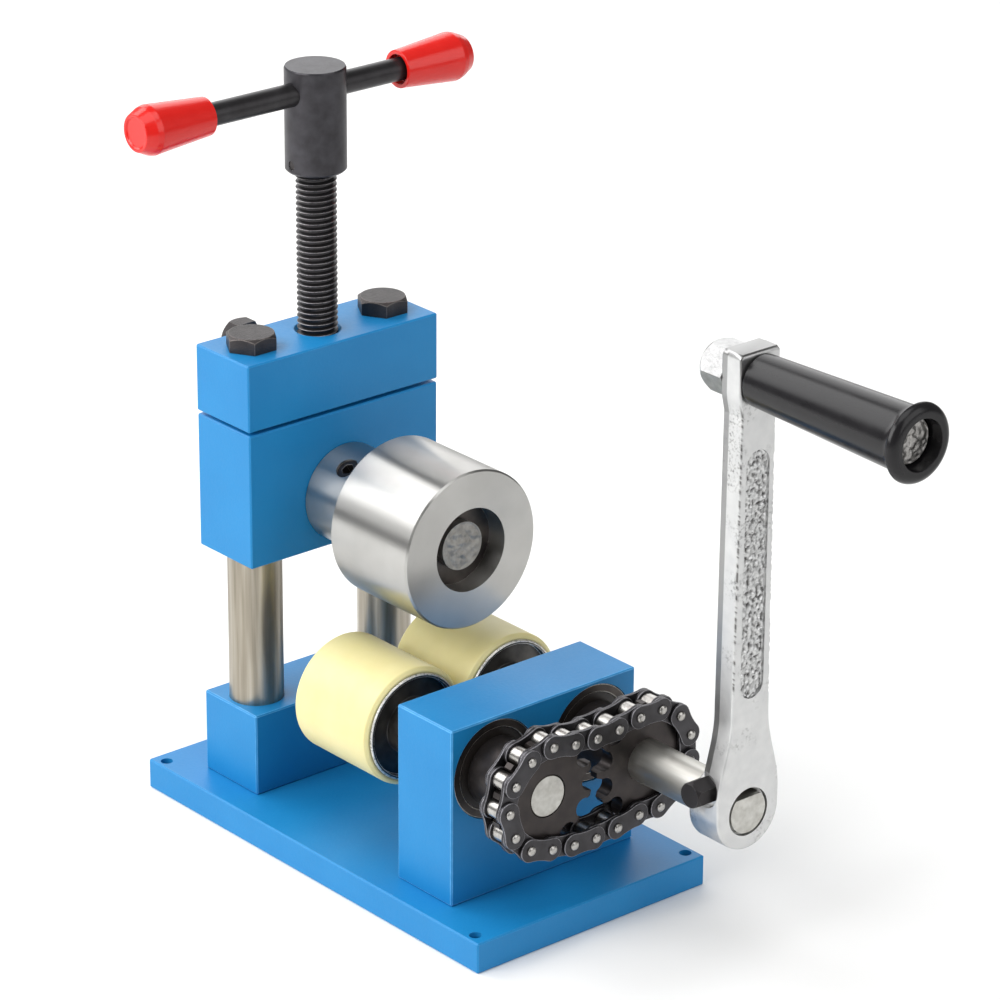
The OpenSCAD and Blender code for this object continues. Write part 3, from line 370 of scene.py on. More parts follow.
def solids_of(node):
    """The (lowest, highest) corners of each separate solid of a CAD node."""
    shape = bmesh.new()
    shape.from_mesh(frame["nodes"][node].data)
    bmesh.ops.remove_doubles(shape, verts=shape.verts, dist=0.001 * MM)
    waiting = set(shape.verts)
    boxes = []
    while waiting:
        edge_of_walk = [waiting.pop()]
        found = []
        while edge_of_walk:
            vert = edge_of_walk.pop()
            found.append(vert.co.copy())
            fresh = {edge.other_vert(vert) for edge in vert.link_edges} & waiting
            waiting -= fresh
            edge_of_walk += fresh
        low = Vector(min(co[i] for co in found) for i in range(3))
        high = Vector(max(co[i] for co in found) for i in range(3))
        boxes.append((low, high))
    shape.free()
    return boxes


def arc(centre, radius, start, end, steps):
    """Points on an arc in the plane, angles in degrees."""
    turns = [math.radians(start + (end - start) * i / steps) for i in range(steps + 1)]
    return [(centre[0] + radius * math.cos(a), centre[1] + radius * math.sin(a)) for a in turns]


def link_plate(pitch, thickness, hole_d):
    """One waisted link plate in mm, in the XZ plane with its middle at the origin, as a mesh."""
    half = pitch / 2
    waist_r = (half ** 2 + PLATE_WAIST ** 2 - PLATE_END_R ** 2) / 2 / (PLATE_END_R - PLATE_WAIST)
    waist_up = PLATE_WAIST + waist_r
    lean = math.degrees(math.atan2(waist_up, half))
    outline = (arc((half, 0), PLATE_END_R, lean - 180, 180 - lean, 14)
               + arc((0, waist_up), waist_r, -lean, lean - 180, 6)[1:-1]
               + arc((-half, 0), PLATE_END_R, lean, 360 - lean, 14)
               + arc((0, -waist_up), waist_r, 180 - lean, lean, 6)[1:-1])
    shape = bmesh.new()
    rim = [shape.verts.new((x * MM, -thickness / 2 * MM, z * MM)) for x, z in outline]
    loop = [shape.edges.new(pair) for pair in zip(rim, rim[1:] + rim[:1])]
    for x in (-half, half):
        hole = [shape.verts.new((x * MM + co[0] * MM, -thickness / 2 * MM, co[1] * MM))
                for co in arc((0, 0), hole_d / 2, 0, 360 - 360 / HOLE_SIDES, HOLE_SIDES - 1)]
        loop += [shape.edges.new(pair) for pair in zip(hole, hole[1:] + hole[:1])]
    bmesh.ops.triangle_fill(shape, use_beauty=True, use_dissolve=False, edges=loop, normal=(0, -1, 0))
    back = bmesh.ops.extrude_face_region(shape, geom=shape.faces[:])
    moved = [vert for vert in back["geom"] if isinstance(vert, bmesh.types.BMVert)]
    bmesh.ops.translate(shape, vec=(0, thickness * MM, 0), verts=moved)
    bmesh.ops.recalc_face_normals(shape, faces=shape.faces)
    mark = shape.faces.layers.float.new("eased")
    rims = [edge for edge in shape.edges if edge.calc_face_angle(0) > 1
            and min((edge.verts[0].co - Vector((s * half * MM, edge.verts[0].co.y, 0))).length
                    for s in (-1, 1)) > (hole_d / 2 + 0.5) * MM]
    rounded = bmesh.ops.bevel(shape, geom=rims, offset=PLATE_EDGE_R * MM, offset_type="OFFSET",
                              affect="EDGES", segments=2, profile=0.5, material=-1, clamp_overlap=True)
    for face in rounded["faces"]:
        face[mark] = 1
    mesh = bpy.data.meshes.new("link_plate")
    shape.to_mesh(mesh)
    shape.free()
    return mesh


def repeated(mesh, places):
    """One shape that holds a copy of a mesh at each place, a matrix."""
    shape = bmesh.new()
    for place in places:
        before = set(shape.verts)
        shape.from_mesh(mesh)
        bmesh.ops.transform(shape, matrix=place, verts=[v for v in shape.verts if v not in before])
    return shape


plate_black = black_oxide("plate_black_oxide", "#504f52", "#8b8a8f", 0.36)
pins = [(low + high) / 2 for low, high in solids_of("chain_pins")]
for layer in ("outer", "inner"):
    places = []
    for low, high in solids_of(f"chain_{layer}_plates"):
        middle = (low + high) / 2
        first, second = sorted(pins, key=lambda pin: math.hypot(pin.x - middle.x, pin.z - middle.z))[:2]
        slope = math.atan2(second.z - first.z, second.x - first.x)
        places.append(Matrix.Translation(middle) @ Matrix.Rotation(-slope, 4, "Y"))
    pitch = math.hypot(second.x - first.x, second.z - first.z) / MM
    plate = link_plate(pitch, (high.y - low.y) / MM, PIN_D)
    make_piece(repeated(plate, places), layer + "_link_plates", plate_black, f"chain_{layer}_plates")
make_piece(eased_copy("chain_offset_link", 0.15), "offset_link", plate_black, "chain_offset_link")


def peened_steel():
    """Hardened pin steel: bright and finely pitted where the riveting hammer struck."""
    material, place = blank_material("peened_steel")
    dents = add_node(material, "TexNoise", {"Scale": per_mm(0.8), "Detail": 3}, {"Vector": place})
    tone = add_node(material, "Mix", {"data_type": "RGBA", 6: linear("#8f8c88"), 7: linear("#cfcdc9")},
                    {0: dents})
    bump = add_node(material, "Bump", {"Distance": 0.04 * MM}, {"Height": dents})
    return surfaced(material, {"Metallic": 1.0, "Roughness": 0.28},
                    {"Base Color": tone.outputs[2], "Normal": bump})


bright_pin = peened_steel()
low, high = solids_of("chain_pins")[0]
pin_half = (high.y - low.y) / 2 / MM
pin_outline = [(0, -pin_half), (PIN_FLAT_R, -pin_half), (PIN_D / 2, PIN_DOME - pin_half),
               (PIN_D / 2, pin_half - PIN_DOME), (PIN_FLAT_R, pin_half), (0, pin_half)]
pin_shape = turned(pin_outline, Vector(), "Y", ease=0.2, steps=20)
pin_mesh = bpy.data.meshes.new("chain_pin")
pin_shape.to_mesh(pin_mesh)
all_pins = repeated(pin_mesh, [Matrix.Translation(pin) for pin in pins])
make_piece(all_pins, "peened_pins", bright_pin, "chain_pins")
make_piece(eased_copy("chain_rollers", 0.25), "bright_rollers", bright_pin, "chain_rollers")
dress("chain_bushes", screw_black)

# Slide block
# A third enamelled block, bored to run on the columns. It holds bronze bushes for the press shaft
# and two dowels that catch the neck of the screw.
make_piece(eased_copy("slide_block", 0.3), "enamelled_slide", enamel, "slide_block")
PRESS = axis_of("press_shaft", "Y")
bronze = turned_steel("bearing_bronze", "Y", "#c08a4e", "#a06d38", 0.36)
dress("press_bushes", bronze)
dress("neck_pins", bright_pin)

# Press roller and its shaft
# A roller turned from one steel bar with its hub, ground on the outside and faced off at the front,
# where the sawn end of its shaft stands in a dark recess. A ring and a washer hold it behind.
RECESS_REACH = 14.75
FRONT_SKIN = 0.3
GROOVE_DEPTH = 0.8
GROOVE_GAP = 0.02
ROUGH_MARGIN = 0.5
DISC_RINGS = 28


def sawn_steel(name, pale, dark, roughness):
    """Steel left as the saw or the mould made it: dull grey, pitted and blotchy."""
    material, place = blank_material(name)
    blotch = add_node(material, "TexNoise", {"Scale": per_mm(2.4), "Detail": 5}, {"Vector": place})
    pits = add_node(material, "TexNoise", {"Scale": per_mm(0.9), "Detail": 4}, {"Vector": place})
    tone = add_node(material, "Mix", {"data_type": "RGBA", 6: linear(dark), 7: linear(pale)}, {0: blotch})
    bump = add_node(material, "Bump", {"Distance": 0.12 * MM}, {"Height": pits})
    return surfaced(material, {"Metallic": 0.9, "Roughness": roughness},
                    {"Base Color": tone.outputs[2], "Normal": bump})


def lumps(place, size):
    """Lumps about this many mm across: 0 in the cracks between them, 1 on their tops."""
    coarse = noise.noise(place / (size * MM))
    fine = noise.noise(place / (0.45 * size * MM))
    return min(max(0.55 + 0.9 * coarse + 0.45 * fine, 0), 1)


def rough_disc(radius, front):
    """Outline points across an end face in mm, close enough to be roughened later."""
    return [(radius * i / DISC_RINGS, front) for i in range(DISC_RINGS + 1)]


def roughened(shape, centre, front, reach, size, depth):
    """Roughens the end face at a place along Y, within reach of its axis, in mm."""
    for vert in shape.verts:
        away = vert.co - centre
        if abs(vert.co.y - front * MM) < 0.01 * MM and math.hypot(away.x, away.z) < reach * MM:
            vert.co.y += depth * MM * (1 - lumps(vert.co, size))


roller_steel = turned_steel("ground_roller_steel", "Y", "#bfbebb", "#adaca9", 0.315)
roller = eased_copy("press_roller", 0.4)
roller_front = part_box("press_roller")[0].y
# The recess's walls and floor take the darker ring steel as painted shade.
for face in roller.faces:
    reach = max(math.hypot(vert.co.x - PRESS.x, vert.co.z - PRESS.z) for vert in face.verts)
    face.material_index = (reach < RECESS_REACH * MM
                           and min(vert.co.y for vert in face.verts) > roller_front + FRONT_SKIN * MM)
make_piece(roller, "ground_roller", roller_steel, "press_roller").data.materials.append(ring_steel)
shaft_low, shaft_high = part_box("press_shaft")
ring_low, ring_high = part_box("retaining_ring")
press_r = (shaft_high.x - shaft_low.x) / 2 / MM
groove_front = ring_low.y / MM - GROOVE_GAP
groove_back = ring_high.y / MM + GROOVE_GAP
groove = ((press_r, groove_front), (press_r - GROOVE_DEPTH, groove_front),
          (press_r - GROOVE_DEPTH, groove_back), (press_r, groove_back))
press_bar = turned([*rough_disc(press_r, shaft_low.y / MM), *groove, (press_r, shaft_high.y / MM),
                    (0, shaft_high.y / MM)], PRESS, "Y", ease=0.02)
roughened(press_bar, PRESS, shaft_low.y / MM, press_r - ROUGH_MARGIN, size=2.2, depth=0.4)
sawn_shaft = sawn_steel("sawn_shaft_steel", "#c2bfb9", "#77746f", 0.5)
make_piece(press_bar, "press_bar", sawn_shaft, "press_shaft")
make_piece(eased_copy("roller_grub_screw", 0.15), "roller_grub", screw_black, "roller_grub_screw")
dress("thrust_washer", bronze)
make_piece(eased_copy("retaining_ring", 0.15), "snap_ring", screw_black, "retaining_ring")

# Crosshead and its bolts
# The top block, enamelled like the rest, tapped for the screw and bolted down on the columns by two
# rough blackened hex bolts. A third bolt behind locks the screw.
make_piece(eased_copy("crosshead", 0.3), "enamelled_crosshead", enamel, "crosshead")
bolt_black = black_oxide("bolt_black_oxide", "#524e4e", "#66615f", 0.46, 0.16)
make_piece(eased_copy("column_bolts", 0.35), "crosshead_bolts", bolt_black, "column_bolts")
make_piece(eased_copy("lock_bolt", 0.3), "lock_hex_bolt", bolt_black, "lock_bolt")

# Press screw
# A bar of blackened steel with a coarse metric thread rolled along it. Its neck turns between the
# dowels of the slide block, and its top is pinned in the hub.
THREAD_PITCH = 2.0
THREAD_STEPS = 48
THREAD_SHARE = 0.613
THREAD_BELOW_SLIDE_TOP = 5.9
THREAD_IN_HUB = 2
CREST_DROP = 0.1
CREST_SPREAD = 0.06
HIGHLIT_CREST_BAND = 0.15
NECK_R = 4.5
COLLAR_H = 4
screw_low, screw_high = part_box("press_screw")
hub_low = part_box("screw_hub")[0]
slide_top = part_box("slide_block")[1].z
SCREW = axis_of("press_screw", "Z")
crest_r = (screw_high.x - screw_low.x) / 2 / MM
root_r = crest_r - THREAD_SHARE * THREAD_PITCH
crest_flat = THREAD_PITCH / 8
root_flat = THREAD_PITCH / 4
flank = (THREAD_PITCH - crest_flat - root_flat) / 2
thread_low = slide_top / MM - THREAD_BELOW_SLIDE_TOP
thread_high = hub_low.z / MM + THREAD_IN_HUB
start = thread_low - 2 * THREAD_PITCH
turns = math.ceil((thread_high - start) / THREAD_PITCH) + 1
tooth = [(root_r, 0), (root_r, root_flat),
         (crest_r - CREST_DROP, root_flat + flank - CREST_SPREAD),
         (crest_r, root_flat + flank + crest_flat / 2),
         (crest_r - CREST_DROP, root_flat + flank + crest_flat + CREST_SPREAD),
         (root_r, THREAD_PITCH)]
thread = bmesh.new()
flanks = [thread.verts.new((radius * MM, 0, (start + up) * MM)) for radius, up in tooth]
for first, second in zip(flanks, flanks[1:]):
    thread.edges.new((first, second))
bmesh.ops.spin(thread, geom=thread.verts[:] + thread.edges[:], cent=(0, 0, 0), axis=(0, 0, 1),
               dvec=(0, 0, THREAD_PITCH * MM / THREAD_STEPS), angle=2 * math.pi * turns,
               steps=THREAD_STEPS * turns)
bmesh.ops.remove_doubles(thread, verts=thread.verts, dist=0.001 * MM)
for height, outward in ((thread_low, -1), (thread_high, 1)):
    bmesh.ops.bisect_plane(thread, geom=thread.verts[:] + thread.edges[:] + thread.faces[:],
                           plane_co=(0, 0, height * MM), plane_no=(0, 0, outward), clear_outer=True)
    rim = [edge for edge in thread.edges if edge.is_boundary and abs(edge.verts[0].co.z - height * MM) < 1e-7]
    bmesh.ops.contextual_create(thread, geom=rim)
bmesh.ops.recalc_face_normals(thread, faces=thread.faces)
# The crests are marked so that the blackened steel paints them pale: a painted highlight along the thread.
highlit_crest = thread.faces.layers.float.new("eased")
for face in thread.faces:
    middle = face.calc_center_median()
    face[highlit_crest] = math.hypot(middle.x, middle.y) > (crest_r - HIGHLIT_CREST_BAND) * MM
bmesh.ops.translate(thread, vec=SCREW, verts=thread.verts)
foot = screw_low.z / MM
top = screw_high.z / MM
neck = turned([(0, foot), (crest_r, foot), (crest_r, foot + COLLAR_H), (NECK_R, foot + COLLAR_H),
               (NECK_R, thread_low), (0, thread_low)], SCREW, "Z")
seat = turned([(0, thread_high), (crest_r, thread_high), (crest_r, top), (0, top)], SCREW, "Z")
for end in (neck, seat):
    end_mesh = bpy.data.meshes.new("screw_end")
    end.to_mesh(end_mesh)
    thread.from_mesh(end_mesh)
thread_black = black_oxide("thread_black_oxide", "#464547", "#817e7f", 0.36)
make_piece(thread, "threaded_screw", thread_black, "press_screw")

# Hub and cross pin
# A satin black steel hub, bored for the bar and pinned to the screw.
# The pale colour on the hub's eased rims is partly rubbed steel and partly a painted highlight.
hub_black = black_oxide("hub_black_oxide", "#545358", "#a5a4a6", 0.4)
make_piece(eased_copy("screw_hub", 0.4), "t_hub", hub_black, "screw_hub")
make_piece(eased_copy("cross_pin", 0.25), "hub_pin", bolt_black, "cross_pin")

# Tommy bar and its grips
# A round black bar that slides through the hub, with a red moulded vinyl grip pushed on each end.
# Each step of a grip's blunt end is (in from its full radius, back from its end).
VINYL_MOUTH_R = 6.6
VINYL_BORE_R = 4.0
VINYL_MOUTH_GAP = 1.1
VINYL_MOUTH_DEPTH = 3
VINYL_END_T = 7
VINYL_END = ((0.5, 11), (0, 5.5), (0.5, 3.6), (2.2, 0), (3.2, 0), (3.7, 0.6))
VINYL_DISH = VINYL_END[-1][1]


def red_vinyl():
    """Glossy moulded vinyl: a strong warm red with a soft sheen and tiny flow marks."""
    material, place = blank_material("red_vinyl")
    flow = add_node(material, "TexNoise", {"Scale": per_mm(7), "Detail": 4}, {"Vector": place})
    grain = add_node(material, "TexNoise", {"Scale": per_mm(0.8), "Detail": 2}, {"Vector": place})
    tone = add_node(material, "Mix", {"data_type": "RGBA", 6: linear("#cf1a16"), 7: linear("#de261f")},
                    {0: flow})
    gloss = add_node(material, "MapRange", {"To Min": 0.17, "To Max": 0.26}, {"Value": flow})
    bump = add_node(material, "Bump", {"Distance": 0.006 * MM, "Strength": 0.5}, {"Height": grain})
    return surfaced(material, {"IOR": 1.5, "Specular IOR Level": 0.45, "Subsurface Weight": 0.08,
                               "Subsurface Radius": (1.0, 0.2, 0.1), "Subsurface Scale": 1.5 * MM},
                    {"Base Color": tone.outputs[2], "Roughness": gloss, "Normal": bump})


BAR = axis_of("tommy_bar", "X")
vinyl = red_vinyl()
make_piece(eased_copy("tommy_bar", 0.4), "black_bar", thread_black, "tommy_bar")
for side, outward in (("left", -1), ("right", 1)):
    low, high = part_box(side + "_bar_grip")
    mouth = (high.x if outward < 0 else low.x) / MM
    length = (high.x - low.x) / MM
    full_r = (high.z - low.z) / 2 / MM
    open_r = VINYL_BORE_R + VINYL_MOUTH_GAP
    section = [(0, length - VINYL_END_T), (VINYL_BORE_R, length - VINYL_END_T),
               (VINYL_BORE_R, VINYL_MOUTH_DEPTH), (open_r, VINYL_MOUTH_DEPTH), (open_r, 0),
               (VINYL_MOUTH_R, 0), *((full_r - inset, length - short) for inset, short in VINYL_END),
               (0, length - VINYL_DISH)]
    grip = turned([(radius, mouth + outward * along) for radius, along in section], BAR, "X", ease=0.25)
    make_piece(grip, side + "_vinyl_grip", vinyl, side + "_bar_grip")

# Crank arm
# A die-cast arm with a dull chromed skin: a rough recess along its front, pitted front edges, and an
# eye on the shaft that is cross-drilled and spot-faced for the cotter.
ARM_T = 9.0
ARM_LOW_W = 16.8
ARM_TOP_W = 14.4
ARM_END_W = 17.2
EYE_D = 26.6
FLARE = (5, 34)
SHANK_STEPS = 240
END_DOWN = 11
END_SHOULDER = ((0.3, 6.5), (0, 4))
END_CHAMFER = (1.3, 1.6)
RECESS_W = 10.0
RECESS_LEN = 85.5
RECESS_DEPTH = 1.4
RECESS_DOWN = 23.6
RECESS_ROWS = 180
RECESS_COLUMNS = 24
LUMP_H = 0.9
LUMP_SIZE = 1.3
EDGE_R = 0.8
EDGE_MIDDLE = 0.29 * EDGE_R
BACK_EDGE_R = 0.5
PIT_SIZE = 1.2
PIT_DEPTH = 0.3
PITS_ABOVE = 40
PARTING = 6.0
PARTING_STEP = 0.2
DRAFT = 0.98
BOSS_BACK = 3
BOSS_IN = 0.05
EYE_MOUTH_GAP = 0.9
EYE_MOUTH_DEPTH = 1.6
EYE_MOUTH_SLOPE = 0.3
EYE_BORE_GAP = 0.1
COTTER_BORE_R = 3.8
SPINDLE_BORE_R = 5.05
SPOT_FACE = 11.3
SPOT_R = 5.9
CUT_PAST = 5
COTTER_CUT = 30
SPOT_CUT = 20
HANDLE = axis_of("handle_grip", "Y")
arm_low, arm_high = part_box("crank_arm")
arm_front = arm_low.y / MM
arm_len = (HANDLE.z - DRIVE.z) / MM
arm_top = (arm_high.z - DRIVE.z) / MM


def arm_half(up):
    """Half the arm's width in mm at a height above the shaft, with the flare into the eye."""
    straight = (ARM_LOW_W + (ARM_TOP_W - ARM_LOW_W) * up / arm_len) / 2
    share = (min(max(up, FLARE[0]), FLARE[1]) - FLARE[0]) / (FLARE[1] - FLARE[0])
    base = (ARM_LOW_W + (ARM_TOP_W - ARM_LOW_W) * FLARE[0] / arm_len) / 2
    return straight + (EYE_D / 2 - base) * (1 + math.cos(math.pi * share)) / 2


def edge_loop(shape, points, depth):
    """A closed loop of edges through (x, z) points in mm, at one depth along Y."""
    verts = [shape.verts.new((x * MM, depth * MM, z * MM)) for x, z in points]
    return [shape.edges.new(pair) for pair in zip(verts, verts[1:] + verts[:1])]


def verts_in(geometry):
    """The vertices in an operator's result."""
    return [item for item in geometry if isinstance(item, bmesh.types.BMVert)]


arm = bmesh.new()
painted_shade = arm.verts.layers.float.new("painted_shade")

# The recess: a floor of small squares, raised into lumps, and walls up to the arm's front.
recess_r = RECESS_W / 2
recess_top = arm_len - RECESS_DOWN - recess_r
recess_low = arm_len - RECESS_DOWN - RECESS_LEN + recess_r
recess_run = recess_top - recess_low
cap = [(recess_r * math.cos(a), recess_r * math.sin(a)) for a in (math.radians(6 * i) for i in range(1, 15))]
rows = ([(half, recess_low - up) for half, up in reversed(cap)]
        + [(recess_r, recess_low + recess_run * i / RECESS_ROWS) for i in range(RECESS_ROWS + 1)]
        + [(half, recess_top + up) for half, up in cap])
grid = []
for half, up in rows:
    grid.append([])
    for i in range(RECESS_COLUMNS + 1):
        x = half * (2 * i / RECESS_COLUMNS - 1)
        inside = 0 < i < RECESS_COLUMNS and rows[0][1] < up < rows[-1][1]
        lump = lumps(Vector((x, 0, up)) * MM, LUMP_SIZE) if inside else 0.6
        vert = arm.verts.new((x * MM, (arm_front + RECESS_DEPTH - LUMP_H * lump) * MM, up * MM))
        # Painted shade in the cracks between the lumps.
        vert[painted_shade] = min(max(1.15 - 2.1 * lump, 0), 1)
        grid[-1].append(vert)
for lower, upper in zip(grid, grid[1:]):
    for i in range(RECESS_COLUMNS):
        arm.faces.new((lower[i], lower[i + 1], upper[i + 1], upper[i]))
foot_loop = ([row[0] for row in grid] + grid[-1][1:-1] + [row[-1] for row in reversed(grid)]
             + grid[0][-2:0:-1])
lip = edge_loop(arm, [(vert.co.x / MM, vert.co.z / MM) for vert in foot_loop], arm_front)
foot_edges = [arm.edges.get(pair) for pair in zip(foot_loop, foot_loop[1:] + foot_loop[:1])]
bmesh.ops.bridge_loops(arm, edges=lip + foot_edges)

# The body: an outline with closely spaced points, so that its front edges can be pitted.
shank_len = arm_len - END_DOWN - FLARE[0]
shank = [FLARE[0] + shank_len * i / SHANK_STEPS for i in range(SHANK_STEPS + 1)]
end_half = ARM_END_W / 2
right_side = ([(arm_half(up), up) for up in shank]
              + [(end_half - inset, arm_len - down) for inset, down in END_SHOULDER]
              + [(end_half, arm_top - END_CHAMFER[1]), (end_half - END_CHAMFER[0], arm_top)])
eye_arc = arc((0, 0), EYE_D / 2, 180, 360, 48)
outline = eye_arc + right_side + [(-x, z) for x, z in reversed(right_side)]


def drawn_in(points, by):
    """A closed outline of (x, z) points, drawn in by some mm."""
    inner = []
    for before, (x, z), after in zip(points[-1:] + points[:-1], points, points[1:] + points[:1]):
        along = Vector((after[0] - before[0], after[1] - before[1])).normalized()
        inner.append((x - by * along.y, z + by * along.x))
    return inner


front_loop = edge_loop(arm, drawn_in(outline, EDGE_R), arm_front)
worn_loop = edge_loop(arm, drawn_in(outline, EDGE_MIDDLE), arm_front + EDGE_MIDDLE)
rim = edge_loop(arm, outline, arm_front + EDGE_R)
bmesh.ops.triangle_fill(arm, use_beauty=True, use_dissolve=False, edges=front_loop + lip, normal=(0, -1, 0))
bmesh.ops.bridge_loops(arm, edges=front_loop + worn_loop)
bmesh.ops.bridge_loops(arm, edges=worn_loop + rim)
back_rim = rim
back_t = ARM_T - PARTING - PARTING_STEP
for depth, narrowing in ((PARTING - EDGE_R, 1), (PARTING_STEP, DRAFT), (back_t, DRAFT)):
    sides = bmesh.ops.extrude_edge_only(arm, edges=back_rim)
    bmesh.ops.translate(arm, vec=(0, depth * MM, 0), verts=verts_in(sides["geom"]))
    bmesh.ops.scale(arm, vec=(narrowing, 1, 1), verts=verts_in(sides["geom"]))
    back_rim = [edge for edge in arm.edges if edge.is_boundary]
bmesh.ops.contextual_create(arm, geom=back_rim)
bmesh.ops.recalc_face_normals(arm, faces=arm.faces)
bmesh.ops.bevel(arm, geom=back_rim, offset=BACK_EDGE_R * MM, offset_type="OFFSET", affect="EDGES",
                segments=2, profile=0.5, material=-1, clamp_overlap=True)
arm.normal_update()
for vert in {vert for edge in worn_loop for vert in edge.verts}:
    pit = min(max(2.6 - 4 * lumps(vert.co, PIT_SIZE), 0), 1) if vert.co.z > PITS_ABOVE * MM else 0
    # The pits are sunk and also painted dark as shade.
    vert[painted_shade] = pit
    vert.co -= vert.normal * PIT_DEPTH * MM * pit
# The top face is painted half dark as shade, and the back behind the parting step as a painted dark
# reflection.
for vert in arm.verts:
    if vert.co.z > (arm_top - 0.05) * MM or vert.co.y > (arm_front + PARTING + 0.1) * MM:
        vert[painted_shade] = 0.5
bmesh.ops.translate(arm, vec=DRIVE, verts=arm.verts)


def temporary(shape, name):
    """A passing object for a shape, to cut or join with."""
    mesh = bpy.data.meshes.new(name)
    shape.to_mesh(mesh)
    shape.free()
    thing = bpy.data.objects.new(name, mesh)
    bpy.context.scene.collection.objects.link(thing)
    return thing


def carved(shape, joins, cuts):
    """A shape with others joined to it and cut from it."""
    stock = temporary(shape, "stock")
    tools = [("UNION", temporary(join, "join")) for join in joins]
    tools += [("DIFFERENCE", temporary(cut, "cut")) for cut in cuts]
    for operation, tool in tools:
        step = stock.modifiers.new(operation, "BOOLEAN")
        step.operation = operation
        step.solver = "MANIFOLD"
        step.object = tool
    result = bmesh.new()
    result.from_object(stock, bpy.context.evaluated_depsgraph_get())
    for thing in [stock] + [tool for _, tool in tools]:
        bpy.data.objects.remove(thing)
    return result


def cast_chrome():
    """Chromed die casting: bright where it is smooth, rough in patches, and dark with painted shade in its
    pits and cracks and on its top and back.
    """
    material, place = blank_material("cast_chrome")
    mottle = add_node(material, "TexNoise", {"Scale": per_mm(5), "Detail": 5}, {"Vector": place})
    skin = add_node(material, "TexNoise", {"Scale": per_mm(1.0), "Detail": 4}, {"Vector": place})
    patch = add_node(material, "TexNoise", {"Scale": per_mm(17), "Detail": 2}, {"Vector": place})
    painted_shade_mask = add_node(material, "Attribute", {"attribute_name": "painted_shade"}).outputs["Fac"]
    rough_patch = add_node(material, "MapRange", {"From Min": 0.5, "From Max": 0.64}, {"Value": patch})
    spots = add_node(material, "MapRange", {"From Min": 0.5, "From Max": 0.72, "To Max": 0.7},
                     {"Value": skin})
    dirt = add_node(material, "Math", {"operation": "MULTIPLY"}, {0: rough_patch, 1: spots})
    # Painted shade and the real dirt patches share the dark colour.
    dark = add_node(material, "Math", {"operation": "MAXIMUM"}, {0: painted_shade_mask, 1: dirt})
    plate = add_node(material, "Mix", {"data_type": "RGBA", 6: linear("#bdbebf"), 7: linear("#dcdcdb")},
                     {0: mottle})
    tone = add_node(material, "Mix", {"data_type": "RGBA", 7: linear("#514f4e")},
                    {0: dark, 6: plate.outputs[2]})
    gloss = add_node(material, "MapRange", {"To Min": 0.29, "To Max": 0.42}, {"Value": mottle})
    relief = add_node(material, "Math", {"operation": "MULTIPLY_ADD", 1: 1.5}, {0: dirt, 2: mottle})
    bump = add_node(material, "Bump", {"Distance": 0.06 * MM}, {"Height": relief})
    return surfaced(material, {"Metallic": 1.0},
                    {"Base Color": tone.outputs[2], "Roughness": gloss, "Normal": bump})


shaft_r = (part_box("driven_shaft")[1].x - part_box("driven_shaft")[0].x) / 2 / MM
bolt_low, bolt_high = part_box("cotter_bolt")
COTTER = Vector((0, (bolt_low.y + bolt_high.y) / 2, (bolt_low.z + bolt_high.z) / 2))
eye_back = arm_high.y / MM
middle_x = DRIVE.x / MM
boss_r = EYE_D / 2 - BOSS_IN
boss_front = arm_front + BOSS_BACK


def round_cut(radius, start, end, centre, axis):
    """A plain round cutter in mm, from one place along its axis to another."""
    return turned([(0, start), (radius, start), (radius, end), (0, end)], centre, axis, ease=0.01, steps=48)


eye_boss = turned([(0, boss_front), (boss_r, boss_front), (boss_r, eye_back), (0, eye_back)],
                  DRIVE, "Y", ease=0.8)
mouth_r = shaft_r + EYE_MOUTH_GAP
bore_r = shaft_r + EYE_BORE_GAP
mouth_end = arm_front + EYE_MOUTH_DEPTH
eye_bore = turned([(0, arm_front - CUT_PAST), (mouth_r, arm_front - CUT_PAST), (mouth_r, mouth_end),
                   (bore_r, mouth_end + EYE_MOUTH_SLOPE), (bore_r, eye_back + CUT_PAST),
                   (0, eye_back + CUT_PAST)], DRIVE, "Y", ease=0.01)
cotter_bore = round_cut(COTTER_BORE_R, middle_x - COTTER_CUT, middle_x + COTTER_CUT, COTTER, "X")
spindle_bore = round_cut(SPINDLE_BORE_R, arm_front - CUT_PAST, arm_front + ARM_T + CUT_PAST, HANDLE, "Y")
spot_faces = [round_cut(SPOT_R, middle_x + side * SPOT_FACE, middle_x + side * SPOT_CUT, COTTER, "X")
              for side in (-1, 1)]
arm = carved(arm, [eye_boss], [eye_bore, cotter_bore, spindle_bore] + spot_faces)
make_piece(arm, "cast_arm", cast_chrome(), "crank_arm")

# Cotter bolt and nut
# A blackened hex bolt driven across the eye against the flat of the shaft, with a bright nut on
# its thin threaded tail.
make_piece(eased_copy("cotter_bolt", 0.3), "cotter_hex_bolt", screw_black, "cotter_bolt")
make_piece(eased_copy("cotter_nut", 0.25), "cotter_hex_nut", bright_pin, "cotter_nut")

# Handle
# A turned spindle held in the arm by a chromed dome nut, and a black moulded grip that spins on
# it between the arm and the spindle's rough head.


def black_phenolic():
    """Moulded phenolic: black and glossy, faintly streaked where hands have dulled it."""
    material, place = blank_material("black_phenolic")
    haze = add_node(material, "TexNoise", {"Scale": per_mm(8), "Detail": 4}, {"Vector": place})
    grain = add_node(material, "TexNoise", {"Scale": per_mm(0.6), "Detail": 2}, {"Vector": place})
    tone = add_node(material, "Mix", {"data_type": "RGBA", 6: linear("#151416"), 7: linear("#222123")},
                    {0: haze})
    gloss = add_node(material, "MapRange", {"To Min": 0.18, "To Max": 0.3}, {"Value": haze})
    bump = add_node(material, "Bump", {"Distance": 0.008 * MM, "Strength": 0.5}, {"Height": grain})
    return surfaced(material, {"IOR": 1.55, "Specular IOR Level": 0.25},
                    {"Base Color": tone.outputs[2], "Roughness": gloss, "Normal": bump})


